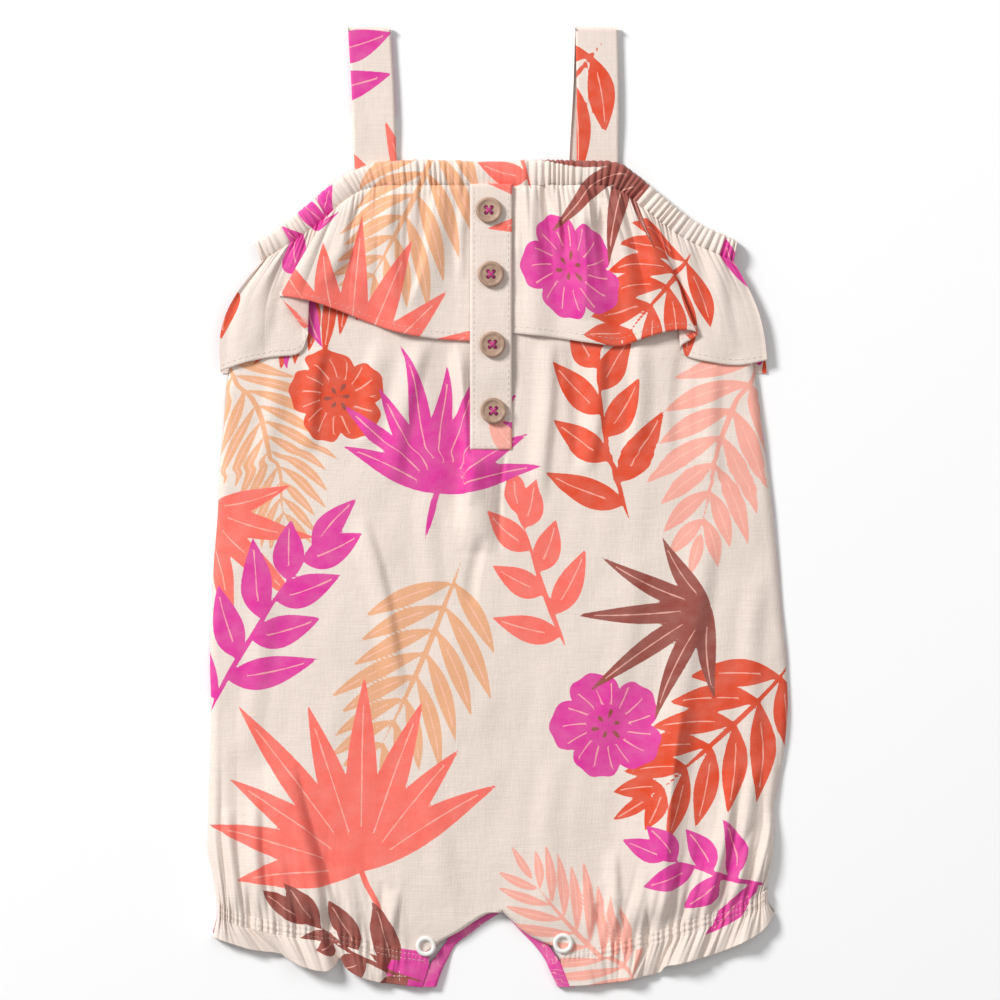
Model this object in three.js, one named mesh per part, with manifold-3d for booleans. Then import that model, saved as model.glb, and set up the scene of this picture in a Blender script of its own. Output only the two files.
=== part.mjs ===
import * as THREE from "three";
import Module from "manifold-3d";

// A baby romper that lies flat on its back. Lengths are millimetres, Z is up, and +Y runs to the straps.
// Every cloth piece is a wall: a grid of points for its outer face, and the same points moved in.

const SEAM = 0.3; // gap between two pieces at a seam
const SLANT_SEAM = 0.4; // the same gap where a seam runs at a slant, measured along Y

const WALL = {
  front: 1.4,
  back: 1.2,
  ruffle: 1.0,
  strap: 1.4,
  placket: 1.4,
  legCasing: 1.2,
  frill: 1.0,
};

// Heights of the layers above the surface that the romper lies on.
const LEVEL = {
  chestBack: 1.3, // underside of the back where it lies on the back ruffle
  chestFront: 4.3, // upper face of the front under the ruffle
  bodyFront: 3.1, // upper face of the front at the side seams
  ruffle: 5.4, // middle of the front ruffle's wall at its seam
  casingUnder: 2.7, // underside of the front casings
  backCasing: 2.4, // upper face of the back casing along its middle
  backCasingEdge: 1.5,
  cuff: 3.9, // upper face of the leg casings
  snap: 5.4, // underside of the snaps
};
const RAMP = { from: 12, to: 42 }; // where the panels climb onto the back ruffle, along Y
const PUFF = 1.5; // how far the front rises between its side seams
const HALF_WIDTH = 124; // of the body, near enough for that rise

// The neck and armhole edge from the left side seam to the right one.
const TOP_EDGE = [
  { along: 0, outerX: -106.9, outerY: 115.9, innerX: -103.8, innerY: 107.6 },
  { along: 25.2, outerX: -87.1, outerY: 129.8, innerX: -81.8, innerY: 122.1 },
  { along: 48.1, outerX: -69.5, outerY: 144.5, innerX: -64.2, innerY: 136.6 },
  { along: 61.8, outerX: -55.4, outerY: 150.9, innerX: -52.8, innerY: 140.6 },
  { along: 73.3, outerX: -43.1, outerY: 152.0, innerX: -42.2, innerY: 141.0 },
  { along: 117.0, outerX: 0.9, outerY: 152.0, innerX: 0.9, innerY: 141.0 },
  { along: 160.4, outerX: 44.9, outerY: 152.0, innerX: 44.0, innerY: 141.0 },
  { along: 168.0, outerX: 53.7, outerY: 150.6, innerX: 50.2, innerY: 140.1 },
  { along: 176.8, outerX: 62.5, outerY: 144.5, innerX: 56.3, innerY: 137.1 },
  { along: 205.2, outerX: 84.5, outerY: 126.9, innerX: 78.8, innerY: 119.5 },
  { along: 230.5, outerX: 105.2, outerY: 116.4, innerX: 103.4, innerY: 107.6 },
];

// Casing stretches along that edge, with the gathers in each.
const CASINGS = {
  armhole_casing_left: { from: 0, to: 56, gathers: 15 },
  neck_casing_front: { from: 56.3, to: 171, gathers: 28 },
  armhole_casing_right: { from: 171.3, to: 230.5, gathers: 15 },
};
const CASING_RISE = [1.2, 2.5, 2.6, 2.4]; // casing height above its underside, outer edge to inner edge
const CASING_GATHER = 0.38;

// Side seams of the body, a row for each height.
const SIDES = [
  { y: -178, left: -123.0, right: 117.5 },
  { y: -168, left: -124.1, right: 118.2 },
  { y: -152, left: -127.2, right: 121.2 },
  { y: -131, left: -127.2, right: 121.4 },
  { y: -110, left: -126.5, right: 125.4 },
  { y: -89, left: -126.1, right: 127.4 },
  { y: -67, left: -126.7, right: 126.6 },
  { y: -46, left: -125.8, right: 124.5 },
  { y: -25, left: -125.0, right: 122.8 },
  { y: -4, left: -123.3, right: 121.0 },
  { y: 17, left: -122.3, right: 118.5 },
  { y: 38, left: -120.5, right: 115.6 },
  { y: 54, left: -119.3, right: 113.6 },
  { y: 80, left: -114.5, right: 109.5 },
  { y: 107.2, left: -104.0, right: 103.4 },
];

const CENTRE_TOP_X = -3; // where the centre line of the body meets the neck

// Edge of the leg arch on each side, from its top to the leg end. The front stops short on the left,
// where the inseam placket shows, and the back leaves the placket's width free.
const ARCH = {
  outline: {
    left: [
      { x: 2.2, y: -178.6 },
      { x: -4.4, y: -182.0 },
      { x: -11.4, y: -187.2 },
      { x: -18.5, y: -192.6 },
      { x: -21.8, y: -198.5 },
      { x: -24.8, y: -204.5 },
      { x: -27.0, y: -211.0 },
    ],
    right: [
      { x: 2.2, y: -178.6 },
      { x: 6.2, y: -182.6 },
      { x: 9.7, y: -186.5 },
      { x: 16.2, y: -193.2 },
      { x: 20.5, y: -199.0 },
      { x: 23.0, y: -204.5 },
      { x: 26.0, y: -211.0 },
    ],
  },
  front: {
    left: [
      { x: 2.2, y: -178.6 },
      { x: -4.0, y: -178.9 },
      { x: -10.6, y: -182.6 },
      { x: -16.5, y: -186.6 },
      { x: -24.5, y: -191.0 },
      { x: -30.4, y: -195.6 },
    ],
    right: [
      { x: 2.2, y: -178.6 },
      { x: 6.4, y: -182.2 },
      { x: 10.2, y: -186.0 },
      { x: 17.2, y: -190.4 },
      { x: 27.6, y: -194.5 },
    ],
  },
  back: {
    left: [
      { x: 2.2, y: -170.4 },
      { x: -4.4, y: -173.4 },
      { x: -11.4, y: -178.6 },
      { x: -18.5, y: -184.1 },
      { x: -24.3, y: -190.2 },
      { x: -30.4, y: -195.5 },
    ],
    right: [
      { x: 2.2, y: -170.4 },
      { x: 6.2, y: -174.0 },
      { x: 9.7, y: -178.0 },
      { x: 16.2, y: -184.7 },
      { x: 21.5, y: -189.4 },
      { x: 27.6, y: -194.5 },
    ],
  },
};
const INSEAM = { width: 7, apexHeight: 1.2, endHeight: 3.2 };

// Elastic line of each leg end, from left to right.
const LEG_LINE = {
  left: [
    { x: -123.2, y: -176.7 },
    { x: -113.5, y: -181.2 },
    { x: -94.2, y: -185.5 },
    { x: -71.7, y: -189.0 },
    { x: -48.4, y: -195.6 },
    { x: -30.4, y: -198.6 },
  ],
  right: [
    { x: 27.6, y: -197.5 },
    { x: 44.9, y: -195.4 },
    { x: 64.7, y: -190.7 },
    { x: 80.5, y: -185.7 },
    { x: 95.9, y: -180.8 },
    { x: 110.4, y: -175.8 },
    { x: 118.6, y: -171.0 },
  ],
};
const LEG_BAND = 5.3; // height of a leg casing
const LEG_BAND_CROWN = 0.35; // how far its middle stands above its edges
const SIDE_CLEAR = 0.3; // more room between a panel and its leg casing at the side seam
const LEG_GATHERS = 22;
const LEG_GATHER_HEIGHT = 0.36;
const PANEL_GATHER = { ridge: 0.75, trough: 0.3 }; // leg gathers where they run up into the front

// Hem of each leg frill, a row for each crest or trough, from left to right. The line column says which
// share of the elastic line a row hangs from.
const FRILL_HEM = {
  left: [
    { line: 0.0, x: -125.4, y: -189.0, z: 3.9 },
    { line: 0.08, x: -120.0, y: -191.2, z: 4.8 },
    { line: 0.19, x: -107.0, y: -194.4, z: 5.4 },
    { line: 0.3, x: -94.5, y: -196.2, z: 3.4 },
    { line: 0.4, x: -85.5, y: -201.4, z: 6.2 },
    { line: 0.5, x: -75.5, y: -204.4, z: 5.6 },
    { line: 0.57, x: -70.0, y: -201.6, z: 3.3 },
    { line: 0.66, x: -62.0, y: -206.4, z: 5.9 },
    { line: 0.76, x: -51.0, y: -209.4, z: 5.2 },
    { line: 0.83, x: -46.0, y: -210.0, z: 3.5 },
    { line: 0.91, x: -40.0, y: -210.6, z: 5.0 },
    { line: 1.0, x: -34.2, y: -211.2, z: 3.6 },
  ],
  right: [
    { line: 0.0, x: 32.4, y: -210.8, z: 3.6 },
    { line: 0.1, x: 40.0, y: -210.2, z: 5.0 },
    { line: 0.19, x: 48.4, y: -209.6, z: 3.4 },
    { line: 0.3, x: 58.0, y: -208.0, z: 6.0 },
    { line: 0.4, x: 68.0, y: -205.4, z: 5.4 },
    { line: 0.46, x: 73.0, y: -203.4, z: 3.4 },
    { line: 0.56, x: 80.4, y: -201.4, z: 5.8 },
    { line: 0.66, x: 90.0, y: -198.4, z: 4.8 },
    { line: 0.74, x: 97.0, y: -196.0, z: 3.4 },
    { line: 0.84, x: 107.0, y: -191.6, z: 5.4 },
    { line: 0.93, x: 115.6, y: -186.8, z: 4.6 },
    { line: 1.0, x: 121.6, y: -179.4, z: 3.4 },
  ],
};
const FRILL_SEAM = 0.5; // gap between a leg casing and its frill, measured along Y
const FRILL_BACK_SHORT = 2; // the back of a frill ends this much higher, so it stays out of sight

// Hem of each half of the chest ruffle, from left to right, at the middle of its wall. seamX is where on
// its seam a row hangs from. Where x hardly moves and z climbs, a fold's edge stands over its neighbour.
const RUFFLE_HEM = {
  left: [
    { seamX: -103.8, x: -121.8, y: 59.6, z: 5.4 },
    { seamX: -97.0, x: -112.0, y: 63.4, z: 6.4 },
    { seamX: -91.0, x: -100.0, y: 66.0, z: 5.6 },
    { seamX: -87.5, x: -92.5, y: 68.0, z: 5.4 },
    { seamX: -85.0, x: -90.2, y: 70.4, z: 5.7 },
    { seamX: -83.0, x: -89.0, y: 75.0, z: 6.9 },
    { seamX: -81.0, x: -87.8, y: 81.0, z: 8.4 },
    { seamX: -78.6, x: -86.2, y: 86.8, z: 9.6 },
    { seamX: -74.6, x: -82.4, y: 89.6, z: 10.0 },
    { seamX: -69.0, x: -76.0, y: 88.6, z: 9.2 },
    { seamX: -63.0, x: -68.0, y: 85.6, z: 7.4 },
    { seamX: -54.0, x: -56.0, y: 80.6, z: 5.9 },
    { seamX: -42.0, x: -43.0, y: 76.4, z: 8.1 },
    { seamX: -26.0, x: -28.0, y: 73.8, z: 6.1 },
    { seamX: -9.8, x: -9.8, y: 72.6, z: 5.4 },
  ],
  right: [
    { seamX: 3.6, x: 3.6, y: 76.2, z: 5.4 },
    { seamX: 8.0, x: 8.4, y: 76.0, z: 5.4 },
    { seamX: 14.0, x: 16.5, y: 75.2, z: 6.7 },
    { seamX: 22.0, x: 28.0, y: 73.8, z: 5.7 },
    { seamX: 33.0, x: 43.0, y: 71.6, z: 7.9 },
    { seamX: 40.0, x: 54.0, y: 70.6, z: 6.1 },
    { seamX: 49.0, x: 63.0, y: 73.6, z: 8.1 },
    { seamX: 57.0, x: 73.0, y: 76.6, z: 9.3 },
    { seamX: 61.5, x: 79.6, y: 77.4, z: 9.9 },
    { seamX: 65.0, x: 83.6, y: 75.6, z: 8.8 },
    { seamX: 67.5, x: 85.0, y: 71.6, z: 7.2 },
    { seamX: 70.0, x: 86.4, y: 67.8, z: 5.8 },
    { seamX: 74.5, x: 89.6, y: 65.0, z: 5.5 },
    { seamX: 82.0, x: 97.0, y: 62.8, z: 6.2 },
    { seamX: 90.0, x: 107.0, y: 62.2, z: 5.5 },
    { seamX: 103.4, x: 118.2, y: 64.4, z: 5.4 },
  ],
};
const RUFFLE_BULGE = { left: 7, right: 3.4 }; // how far the ruffle swells past a straight side edge
const RUFFLE_GROWTH = 0.5; // below 1, the waves open out early on the way from the seam to the hem
const BACK_RUFFLE_HEM = { left: 58.4, right: 59.0 };

// Folds of the body front, each a ridge (or a trough, where rise is negative) from one point to another,
// with its own width on the left and on the right.
const BODY_FOLDS = [
  { x1: -20, y1: 86, x2: -22, y2: -14, left: 12, right: 7, rise: 3.4 },
  { x1: -33, y1: 80, x2: -46, y2: 10, left: 9, right: 9, rise: 1.7 },
  { x1: -50, y1: 78, x2: -60, y2: 26, left: 8, right: 10, rise: 1.4 },
  { x1: -76, y1: 78, x2: -84, y2: 24, left: 9, right: 8, rise: 1.6 },
  { x1: 22, y1: 80, x2: 20, y2: 2, left: 9, right: 8, rise: 1.8 },
  { x1: 46, y1: 82, x2: 40, y2: 14, left: 9, right: 9, rise: 1.8 },
  { x1: 64, y1: 80, x2: 58, y2: 22, left: 8, right: 9, rise: 1.5 },
  { x1: 92, y1: 66, x2: 96, y2: 12, left: 8, right: 7, rise: 1.3 },
  { x1: 5, y1: 28, x2: 3, y2: -12, left: 7, right: 6, rise: 1.6 },
  { x1: -60, y1: -10, x2: -40, y2: -78, left: 12, right: 10, rise: 1.4 },
  { x1: 92, y1: -10, x2: 78, y2: -112, left: 16, right: 12, rise: 1.8 },
  { x1: 82, y1: -84, x2: 68, y2: -198, left: 24, right: 6.5, rise: 5.4 },
  { x1: 100, y1: -116, x2: 84, y2: -190, left: 7, right: 9, rise: 2.4 },
  { x1: 112, y1: -112, x2: 97, y2: -184, left: 7, right: 8, rise: 2.0 },
  { x1: 118, y1: -132, x2: 108, y2: -180, left: 6, right: 7, rise: 1.4 },
  { x1: -84, y1: -112, x2: -70, y2: -196, left: 6.5, right: 22, rise: 4.8 },
  { x1: -108, y1: -132, x2: -100, y2: -190, left: 8, right: 8, rise: 1.9 },
  { x1: -52, y1: -140, x2: -46, y2: -200, left: 9, right: 7, rise: 1.9 },
  { x1: 52, y1: -150, x2: 53, y2: -200, left: 7, right: 7, rise: 1.7 },
];
const UNDER_RUFFLE = { from: 44, to: 62 }; // folds die out below the ruffle, along Y
const PLACKET_CLEAR = { half: 13, x: -3.05, bottom: 8 }; // folds die out beside the button placket

// Folds of the ruffle, in the same columns.
const RUFFLE_FOLDS = [
  { x1: -28, y1: 142, x2: -54, y2: 82, left: 13, right: 9, rise: 2.6 },
  { x1: -64, y1: 134, x2: -76, y2: 96, left: 7, right: 8, rise: 1.4 },
  { x1: -94, y1: 112, x2: -108, y2: 66, left: 8, right: 8, rise: 1.2 },
  { x1: 14, y1: 142, x2: 20, y2: 96, left: 6, right: 6, rise: 1.4 },
  { x1: 30, y1: 142, x2: 44, y2: 72, left: 8, right: 8, rise: 1.8 },
  { x1: 52, y1: 138, x2: 62, y2: 76, left: 7, right: 9, rise: 2.2 },
  { x1: 88, y1: 116, x2: 102, y2: 64, left: 8, right: 8, rise: 1.3 },
];

const PLACKET = { left: -12.3, right: 6.2, top: 140.6, bottom: 24.9, stepFrom: 64, stepTo: 42 };
const BUTTON = { radius: 5.7, thick: 2.2, rim: 0.9, dish: 0.5, holeRadius: 0.75, holeOffset: 1.55 };
const BUTTONS = [
  { x: -4.0, y: 130.0 },
  { x: -3.1, y: 101.9 },
  { x: -2.4, y: 71.1 },
  { x: -2.0, y: 42.0 },
];
const SNAP = { radius: 4.5, hole: 2.3, thick: 1.4 };
const SNAPS = { snap_left: { x: -31.7, y: -193.0 }, snap_right: { x: 28.6, y: -191.7 } };

// Straps: edges of the front layer at the top fold and at the casing, and how far the back layer
// stands out to the left.
const STRAPS = {
  strap_left: { topLeft: -65.8, topRight: -47.1, lowLeft: -62.9, lowRight: -44.2, backShift: 0 },
  strap_right: { topLeft: 34.2, topRight: 52.8, lowLeft: 34.8, lowRight: 53.2, backShift: -3.4 },
};
const STRAP_TOP = 211.2;
const STRAP_GAP = 0.9; // between the two layers of a folded strap
const STRAP_LIFT = 1.6; // how far the front layer climbs to reach the neck casing

const COLOURS = {
  cloth: "#eadfd5",
  back: "#e2d5c9",
  casing: "#f0c3b4",
  ruffle: "#e88f7c",
  placket: "#efe6dc",
  button: "#b8a084",
  inseam: "#de3c9b",
  frill: "#f0b6a8",
  snap: "#f4f2ee",
};

// Grid sizes: columns and rows of each kind of piece.
const GRID = {
  frontColumns: 32,
  backColumns: 12,
  casingPerGather: 2,
  backCasingColumns: 24,
  ruffleColumns: 44,
  ruffleRows: 6,
  backRuffleColumns: 22,
  backRuffleRows: 3,
  placketRows: 14,
  strapRows: 6,
  strapTurn: 5,
  loopTurn: 4,
  loopBack: 10,
  frillFront: 38,
  frillRows: 2,
  inseamColumns: 22,
  buttonSides: 20,
  snapSides: 20,
  holeSides: 8,
};

// Rows of a body panel in three stretches: the body, the hips down to the leg arch, and the legs.
const STRETCHES = [
  { from: 0, to: 0.8, front: 15, back: 8 },
  { from: 0.8, to: 0.88, front: 2, back: 1 },
  { from: 0.88, to: 1, front: 4, back: 5 },
];

const lerp = (a, b, share) => a * (1 - share) + b * share;
const clamp = (value, low, high) => Math.min(high, Math.max(low, value));

function smoothStep(from, to, value) {
  const share = clamp((value - from) / (to - from), 0, 1);
  return share * share * (3 - 2 * share);
}

// A column of a table at a place between its rows, on a smooth curve through them.
function columnAt(rows, along, column, place) {
  const last = rows.length - 1;
  let i = rows.findIndex((row, n) => n > 0 && place <= row[along]);
  if (i < 1) i = last;
  const [a, b] = [rows[i - 1], rows[i]];
  const before = rows[Math.max(0, i - 2)];
  const after = rows[Math.min(last, i + 1)];
  const span = b[along] - a[along];
  const share = clamp((place - a[along]) / span, 0, 1);
  const slopeA = ((b[column] - before[column]) / (b[along] - before[along])) * span;
  const slopeB = ((after[column] - a[column]) / (after[along] - a[along])) * span;
  const s2 = share * share;
  const s3 = s2 * share;
  return (
    (2 * s3 - 3 * s2 + 1) * a[column] +
    (s3 - 2 * s2 + share) * slopeA +
    (3 * s2 - 2 * s3) * b[column] +
    (s3 - s2) * slopeB
  );
}

// The same table with its rows numbered from 0 to 1, for lines that don't run along x or y.
const numbered = (rows) => rows.map((row, i) => ({ ...row, share: i / (rows.length - 1) }));

function pointOn(rows, share) {
  return [columnAt(rows, "share", "x", share), columnAt(rows, "share", "y", share)];
}

// An uneven share between 0.55 and 1 for gather i, the same each time.
const uneven = (i, salt = 0) => 0.775 + 0.225 * Math.sin(i * 2.4 + salt) * Math.cos(i * 1.1 + salt * 2);

function gridOf(rows, columns, pointAt) {
  return Array.from({ length: rows + 1 }, (_, r) =>
    Array.from({ length: columns + 1 }, (_, c) => pointAt(c / columns, r / rows, c, r)),
  );
}

// A closed wall of cloth. The grids hold its outer face, rows from top to bottom and columns from left
// to right, and points that coincide become one. inward moves each point to the wall's other face, and
// outward moves it out where the grids hold the wall's middle.
function clothWall(grids, inward, outward = (point) => point) {
  const points = [];
  const indexOf = new Map();
  const faces = [];
  const indexFor = (point) => {
    const key = point.map((value) => Math.round(value * 500 + 0.137)).join(",");
    if (!indexOf.has(key)) {
      indexOf.set(key, points.length);
      points.push(new THREE.Vector3(...point));
    }
    return indexOf.get(key);
  };
  for (const grid of grids) {
    const index = grid.map((row) => row.map(indexFor));
    for (let r = 1; r < index.length; r++) {
      for (let c = 1; c < index[r].length; c++) {
        const [a, b] = [index[r - 1][c - 1], index[r][c - 1]];
        const [d, e] = [index[r][c], index[r - 1][c]];
        const aToD = points[a].distanceTo(points[d]);
        const bToE = points[b].distanceTo(points[e]);
        const pair = aToD < bToE ? [[a, b, d], [a, d, e]] : [[a, b, e], [b, d, e]];
        faces.push(...pair.filter((face) => new Set(face).size === 3));
      }
    }
  }
  const normals = points.map(() => new THREE.Vector3());
  const [ab, ac] = [new THREE.Vector3(), new THREE.Vector3()];
  for (const [a, b, c] of faces) {
    ab.subVectors(points[b], points[a]);
    ac.subVectors(points[c], points[a]);
    const normal = ab.cross(ac).normalize();
    for (const i of [a, b, c]) normals[i].add(normal);
  }
  normals.forEach((normal) => normal.normalize());
  const inner = points.map((point, i) => inward(point, normals[i]));
  const outer = points.map((point, i) => outward(point, normals[i]));
  const count = points.length;
  const triangles = faces.flatMap(([a, b, c]) => [a, b, c, count + a, count + c, count + b]);
  const edges = new Set(faces.flatMap(([a, b, c]) => [`${a},${b}`, `${b},${c}`, `${c},${a}`]));
  for (const edge of edges) {
    const [a, b] = edge.split(",").map(Number);
    if (edges.has(`${b},${a}`)) continue;
    triangles.push(a, count + a, b, b, count + a, count + b);
  }
  const geometry = new THREE.BufferGeometry();
  const positions = [...outer, ...inner].flatMap((point) => point.toArray());
  geometry.setAttribute("position", new THREE.Float32BufferAttribute(positions, 3));
  geometry.setIndex(triangles);
  geometry.computeVertexNormals();
  return geometry;
}

const down = (thickness) => (point) => point.clone().setZ(point.z - thickness);
const toLevel = (z) => (point) => point.clone().setZ(z);
const inwards = (thickness) => (point, normal) => point.clone().addScaledVector(normal, -thickness);

const innerEdgeY = (x) => columnAt(TOP_EDGE, "innerX", "innerY", x);
const outerEdgeY = (x) => columnAt(TOP_EDGE, "outerX", "outerY", x);

// Height of a set of folds over a place in plan.
function foldHeight(folds, x, y) {
  let height = 0;
  for (const fold of folds) {
    const [dx, dy] = [fold.x2 - fold.x1, fold.y2 - fold.y1];
    const length = Math.hypot(dx, dy);
    const share = ((x - fold.x1) * dx + (y - fold.y1) * dy) / (length * length);
    if (share <= 0 || share >= 1) continue;
    const across = ((x - fold.x1) * -dy + (y - fold.y1) * dx) / length;
    const width = across < 0 ? fold.left : fold.right;
    if (Math.abs(across) >= width) continue;
    const bump = 0.5 + 0.5 * Math.cos((Math.PI * across) / width);
    height += fold.rise * bump * (1 - (2 * share - 1) ** 4);
  }
  return height;
}

const chestShare = (y) => smoothStep(RAMP.from, RAMP.to, y);

// How much of a fold is left beside the button placket.
function besidePlacket(x, y) {
  const near = 1 - smoothStep(PLACKET_CLEAR.half - 4, PLACKET_CLEAR.half, Math.abs(x - PLACKET_CLEAR.x));
  return 1 - near * smoothStep(PLACKET_CLEAR.bottom - 8, PLACKET_CLEAR.bottom, y);
}

// Upper face of the front panel without its leg gathers.
function frontHeight(x, y) {
  const side = 1 - Math.min(1, Math.abs(x / HALF_WIDTH)) ** 4;
  const loose = 1 - smoothStep(UNDER_RUFFLE.from, UNDER_RUFFLE.to, y);
  const plain = lerp(LEVEL.bodyFront + PUFF * side, LEVEL.chestFront, chestShare(y));
  return plain + foldHeight(BODY_FOLDS, x, y) * besidePlacket(x, y) * loose;
}

const backUnderside = (y) => LEVEL.chestBack * chestShare(y);

// Share of the way down the body at each grid row of a panel.
const rowShares = (panel) => [
  0,
  ...STRETCHES.flatMap(({ from, to, [panel]: count }) =>
    Array.from({ length: count }, (_, i) => lerp(from, to, (i + 1) / count)),
  ),
];

// Plan of one half of a body panel, filled in between its four edges. Columns run from the side seam
// to the centre, rows from the neck to the leg end.
function halfPanelPlan(side, archRows) {
  const leg = LEG_LINE[side];
  const arch = numbered(archRows);
  const legRows = numbered(side === "left" ? leg : [...leg].reverse());
  const cuffY = (share) => {
    const bandTop = pointOn(legRows, share)[1] + LEG_BAND / 2;
    return bandTop + SLANT_SEAM + SIDE_CLEAR * (1 - share);
  };
  const apexShare = STRETCHES.at(-1).from;
  const topX = columnAt(SIDES, "y", side, SIDES.at(-1).y);
  const outer = (v) => {
    const y = lerp(SIDES.at(-1).y, cuffY(0), v);
    return [columnAt(SIDES, "y", side, y), y];
  };
  const inner = (v) => {
    if (v > apexShare + 1e-9) return pointOn(arch, (v - apexShare) / (1 - apexShare));
    const share = v / apexShare;
    const top = innerEdgeY(CENTRE_TOP_X) - SLANT_SEAM;
    return [lerp(CENTRE_TOP_X, arch[0].x, share), lerp(top, arch[0].y, share)];
  };
  const top = (u) => {
    const x = lerp(topX, CENTRE_TOP_X, u);
    return [x, innerEdgeY(x) - SLANT_SEAM];
  };
  const bottom = (u) => [pointOn(legRows, u)[0], cuffY(u)];
  const corners = [top(0), top(1), bottom(0), bottom(1)];
  return (u, v) =>
    [0, 1].map((axis) => {
      const sides = lerp(outer(v)[axis], inner(v)[axis], u) + lerp(top(u)[axis], bottom(u)[axis], v);
      const [a, b, c, d] = corners.map((corner) => corner[axis]);
      return sides - lerp(lerp(a, b, u), lerp(c, d, u), v);
    });
}

// Both halves of a body panel. heightAt gives a point's height from its places in plan and in the grid.
function panelGrids(panel, arch, columns, heightAt) {
  const shares = rowShares(panel);
  return ["left", "right"].map((side) => {
    const plan = halfPanelPlan(side, arch[side]);
    return gridOf(shares.length - 1, columns, (share, _, column, row) => {
      const u = side === "left" ? share : 1 - share;
      const [x, y] = plan(u, shares[row]);
      return [x, y, heightAt(x, y, { u, v: shares[row], column, side })];
    });
  });
}

// Gathers over the elastic of a leg: ridge and trough by turns, dying out up the leg.
function legGather({ u, v, column, side }) {
  const fade = Math.exp(-(1 - v) * (18 + 6 * Math.sin(column * 1.7))) * (1 - smoothStep(0.8, 1, u));
  const size = column % 2 ? PANEL_GATHER.ridge : -PANEL_GATHER.trough;
  return size * uneven(column, side === "left" ? 1 : 4) * fade;
}

function frontPanel() {
  const grids = panelGrids("front", ARCH.front, GRID.frontColumns, (x, y, place) => {
    return frontHeight(x, y) + legGather(place);
  });
  return clothWall(grids, down(WALL.front));
}

function backPanel() {
  const grids = panelGrids("back", ARCH.back, GRID.backColumns, (x, y) => backUnderside(y) + WALL.back);
  return clothWall(grids, down(WALL.back));
}

// Place in plan on the neck and armhole edge, from its outer line (across 0) to its inner one (across 1).
function onTopEdge(along, across) {
  const at = (column) => columnAt(TOP_EDGE, "along", column, along);
  return [lerp(at("outerX"), at("innerX"), across), lerp(at("outerY"), at("innerY"), across)];
}

// A casing on the neck or armhole edge: puffed across its width, and gathered along it.
function frontCasing({ from, to, gathers }) {
  const strips = CASING_RISE.length - 1;
  const grid = gridOf(strips, gathers * GRID.casingPerGather, (share, across, column, row) => {
    const [x, y] = onTopEdge(lerp(from, to, share), across);
    const beside = Math.abs(x - PLACKET_CLEAR.x);
    const flat = smoothStep(PLACKET_CLEAR.half - 5, PLACKET_CLEAR.half, beside);
    const ripple = (column % 2 ? 1 : -1) * CASING_GATHER * uneven(column, 2) * flat;
    return [x, y, LEVEL.casingUnder + CASING_RISE[row] + ripple];
  });
  return clothWall([grid], toLevel(LEVEL.casingUnder));
}

function backCasing() {
  const grid = gridOf(2, GRID.backCasingColumns, (share, across) => {
    const [x, y] = onTopEdge(TOP_EDGE.at(-1).along * share, across);
    const middle = 1 - Math.abs(2 * across - 1);
    return [x, y, lerp(LEVEL.backCasingEdge, LEVEL.backCasing, middle)];
  });
  return clothWall([grid], toLevel(0));
}

// How far a ruffle's side edge swells outwards at a place in the grid.
function ruffleBulge(side, edgeShare, v) {
  return RUFFLE_BULGE[side] * Math.sin(Math.PI * v) * (1 - edgeShare) ** 3;
}

// One half of the chest ruffle, from its seam to its hem.
function frontRuffle(side) {
  const hem = numbered(RUFFLE_HEM[side]);
  const grid = gridOf(GRID.ruffleRows, GRID.ruffleColumns, (share, v) => {
    const seamX = columnAt(hem, "share", "seamX", share);
    const [hemX, hemY] = pointOn(hem, share);
    const edgeShare = side === "left" ? share : 1 - share;
    const outwards = side === "left" ? -1 : 1;
    const x = lerp(seamX, hemX, v) + outwards * ruffleBulge(side, edgeShare, v);
    const y = lerp(innerEdgeY(seamX) - SLANT_SEAM, hemY, v);
    const hemZ = columnAt(hem, "share", "z", share);
    const folds = foldHeight(RUFFLE_FOLDS, x, y) * (1 - v ** 3) * besidePlacket(x, y);
    return [x, y, lerp(LEVEL.ruffle, hemZ, v ** RUFFLE_GROWTH) + folds];
  });
  return clothWall([grid], inwards(WALL.ruffle / 2), inwards(-WALL.ruffle / 2));
}

function backRuffle() {
  const [first, last] = [RUFFLE_HEM.left[0], RUFFLE_HEM.right.at(-1)];
  const grid = gridOf(GRID.backRuffleRows, GRID.backRuffleColumns, (share, v) => {
    const seamX = lerp(TOP_EDGE[0].innerX, TOP_EDGE.at(-1).innerX, share);
    const hemX = lerp(first.x, last.x, share);
    const hemY = lerp(BACK_RUFFLE_HEM.left, BACK_RUFFLE_HEM.right, share);
    const swell = ruffleBulge("right", 1 - share, v) - ruffleBulge("left", share, v);
    return [lerp(seamX, hemX, v) + swell, lerp(innerEdgeY(seamX) - SLANT_SEAM, hemY, v), WALL.ruffle];
  });
  return clothWall([grid], toLevel(0));
}

// Upper face of the button placket: on the ruffle at the chest, and on the front below it.
function placketHeight(y) {
  const onRuffle = smoothStep(PLACKET.stepTo, PLACKET.stepFrom, y);
  const ruffleTop = LEVEL.ruffle + WALL.ruffle / 2;
  return lerp(frontHeight(PLACKET_CLEAR.x, y), ruffleTop, onRuffle) + SEAM + WALL.placket;
}

function buttonPlacket() {
  const grid = gridOf(GRID.placketRows, 2, (share, v) => {
    const y = lerp(PLACKET.top, PLACKET.bottom, v);
    return [lerp(PLACKET.left, PLACKET.right, share), y, placketHeight(y)];
  });
  return clothWall([grid], down(WALL.placket));
}

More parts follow.
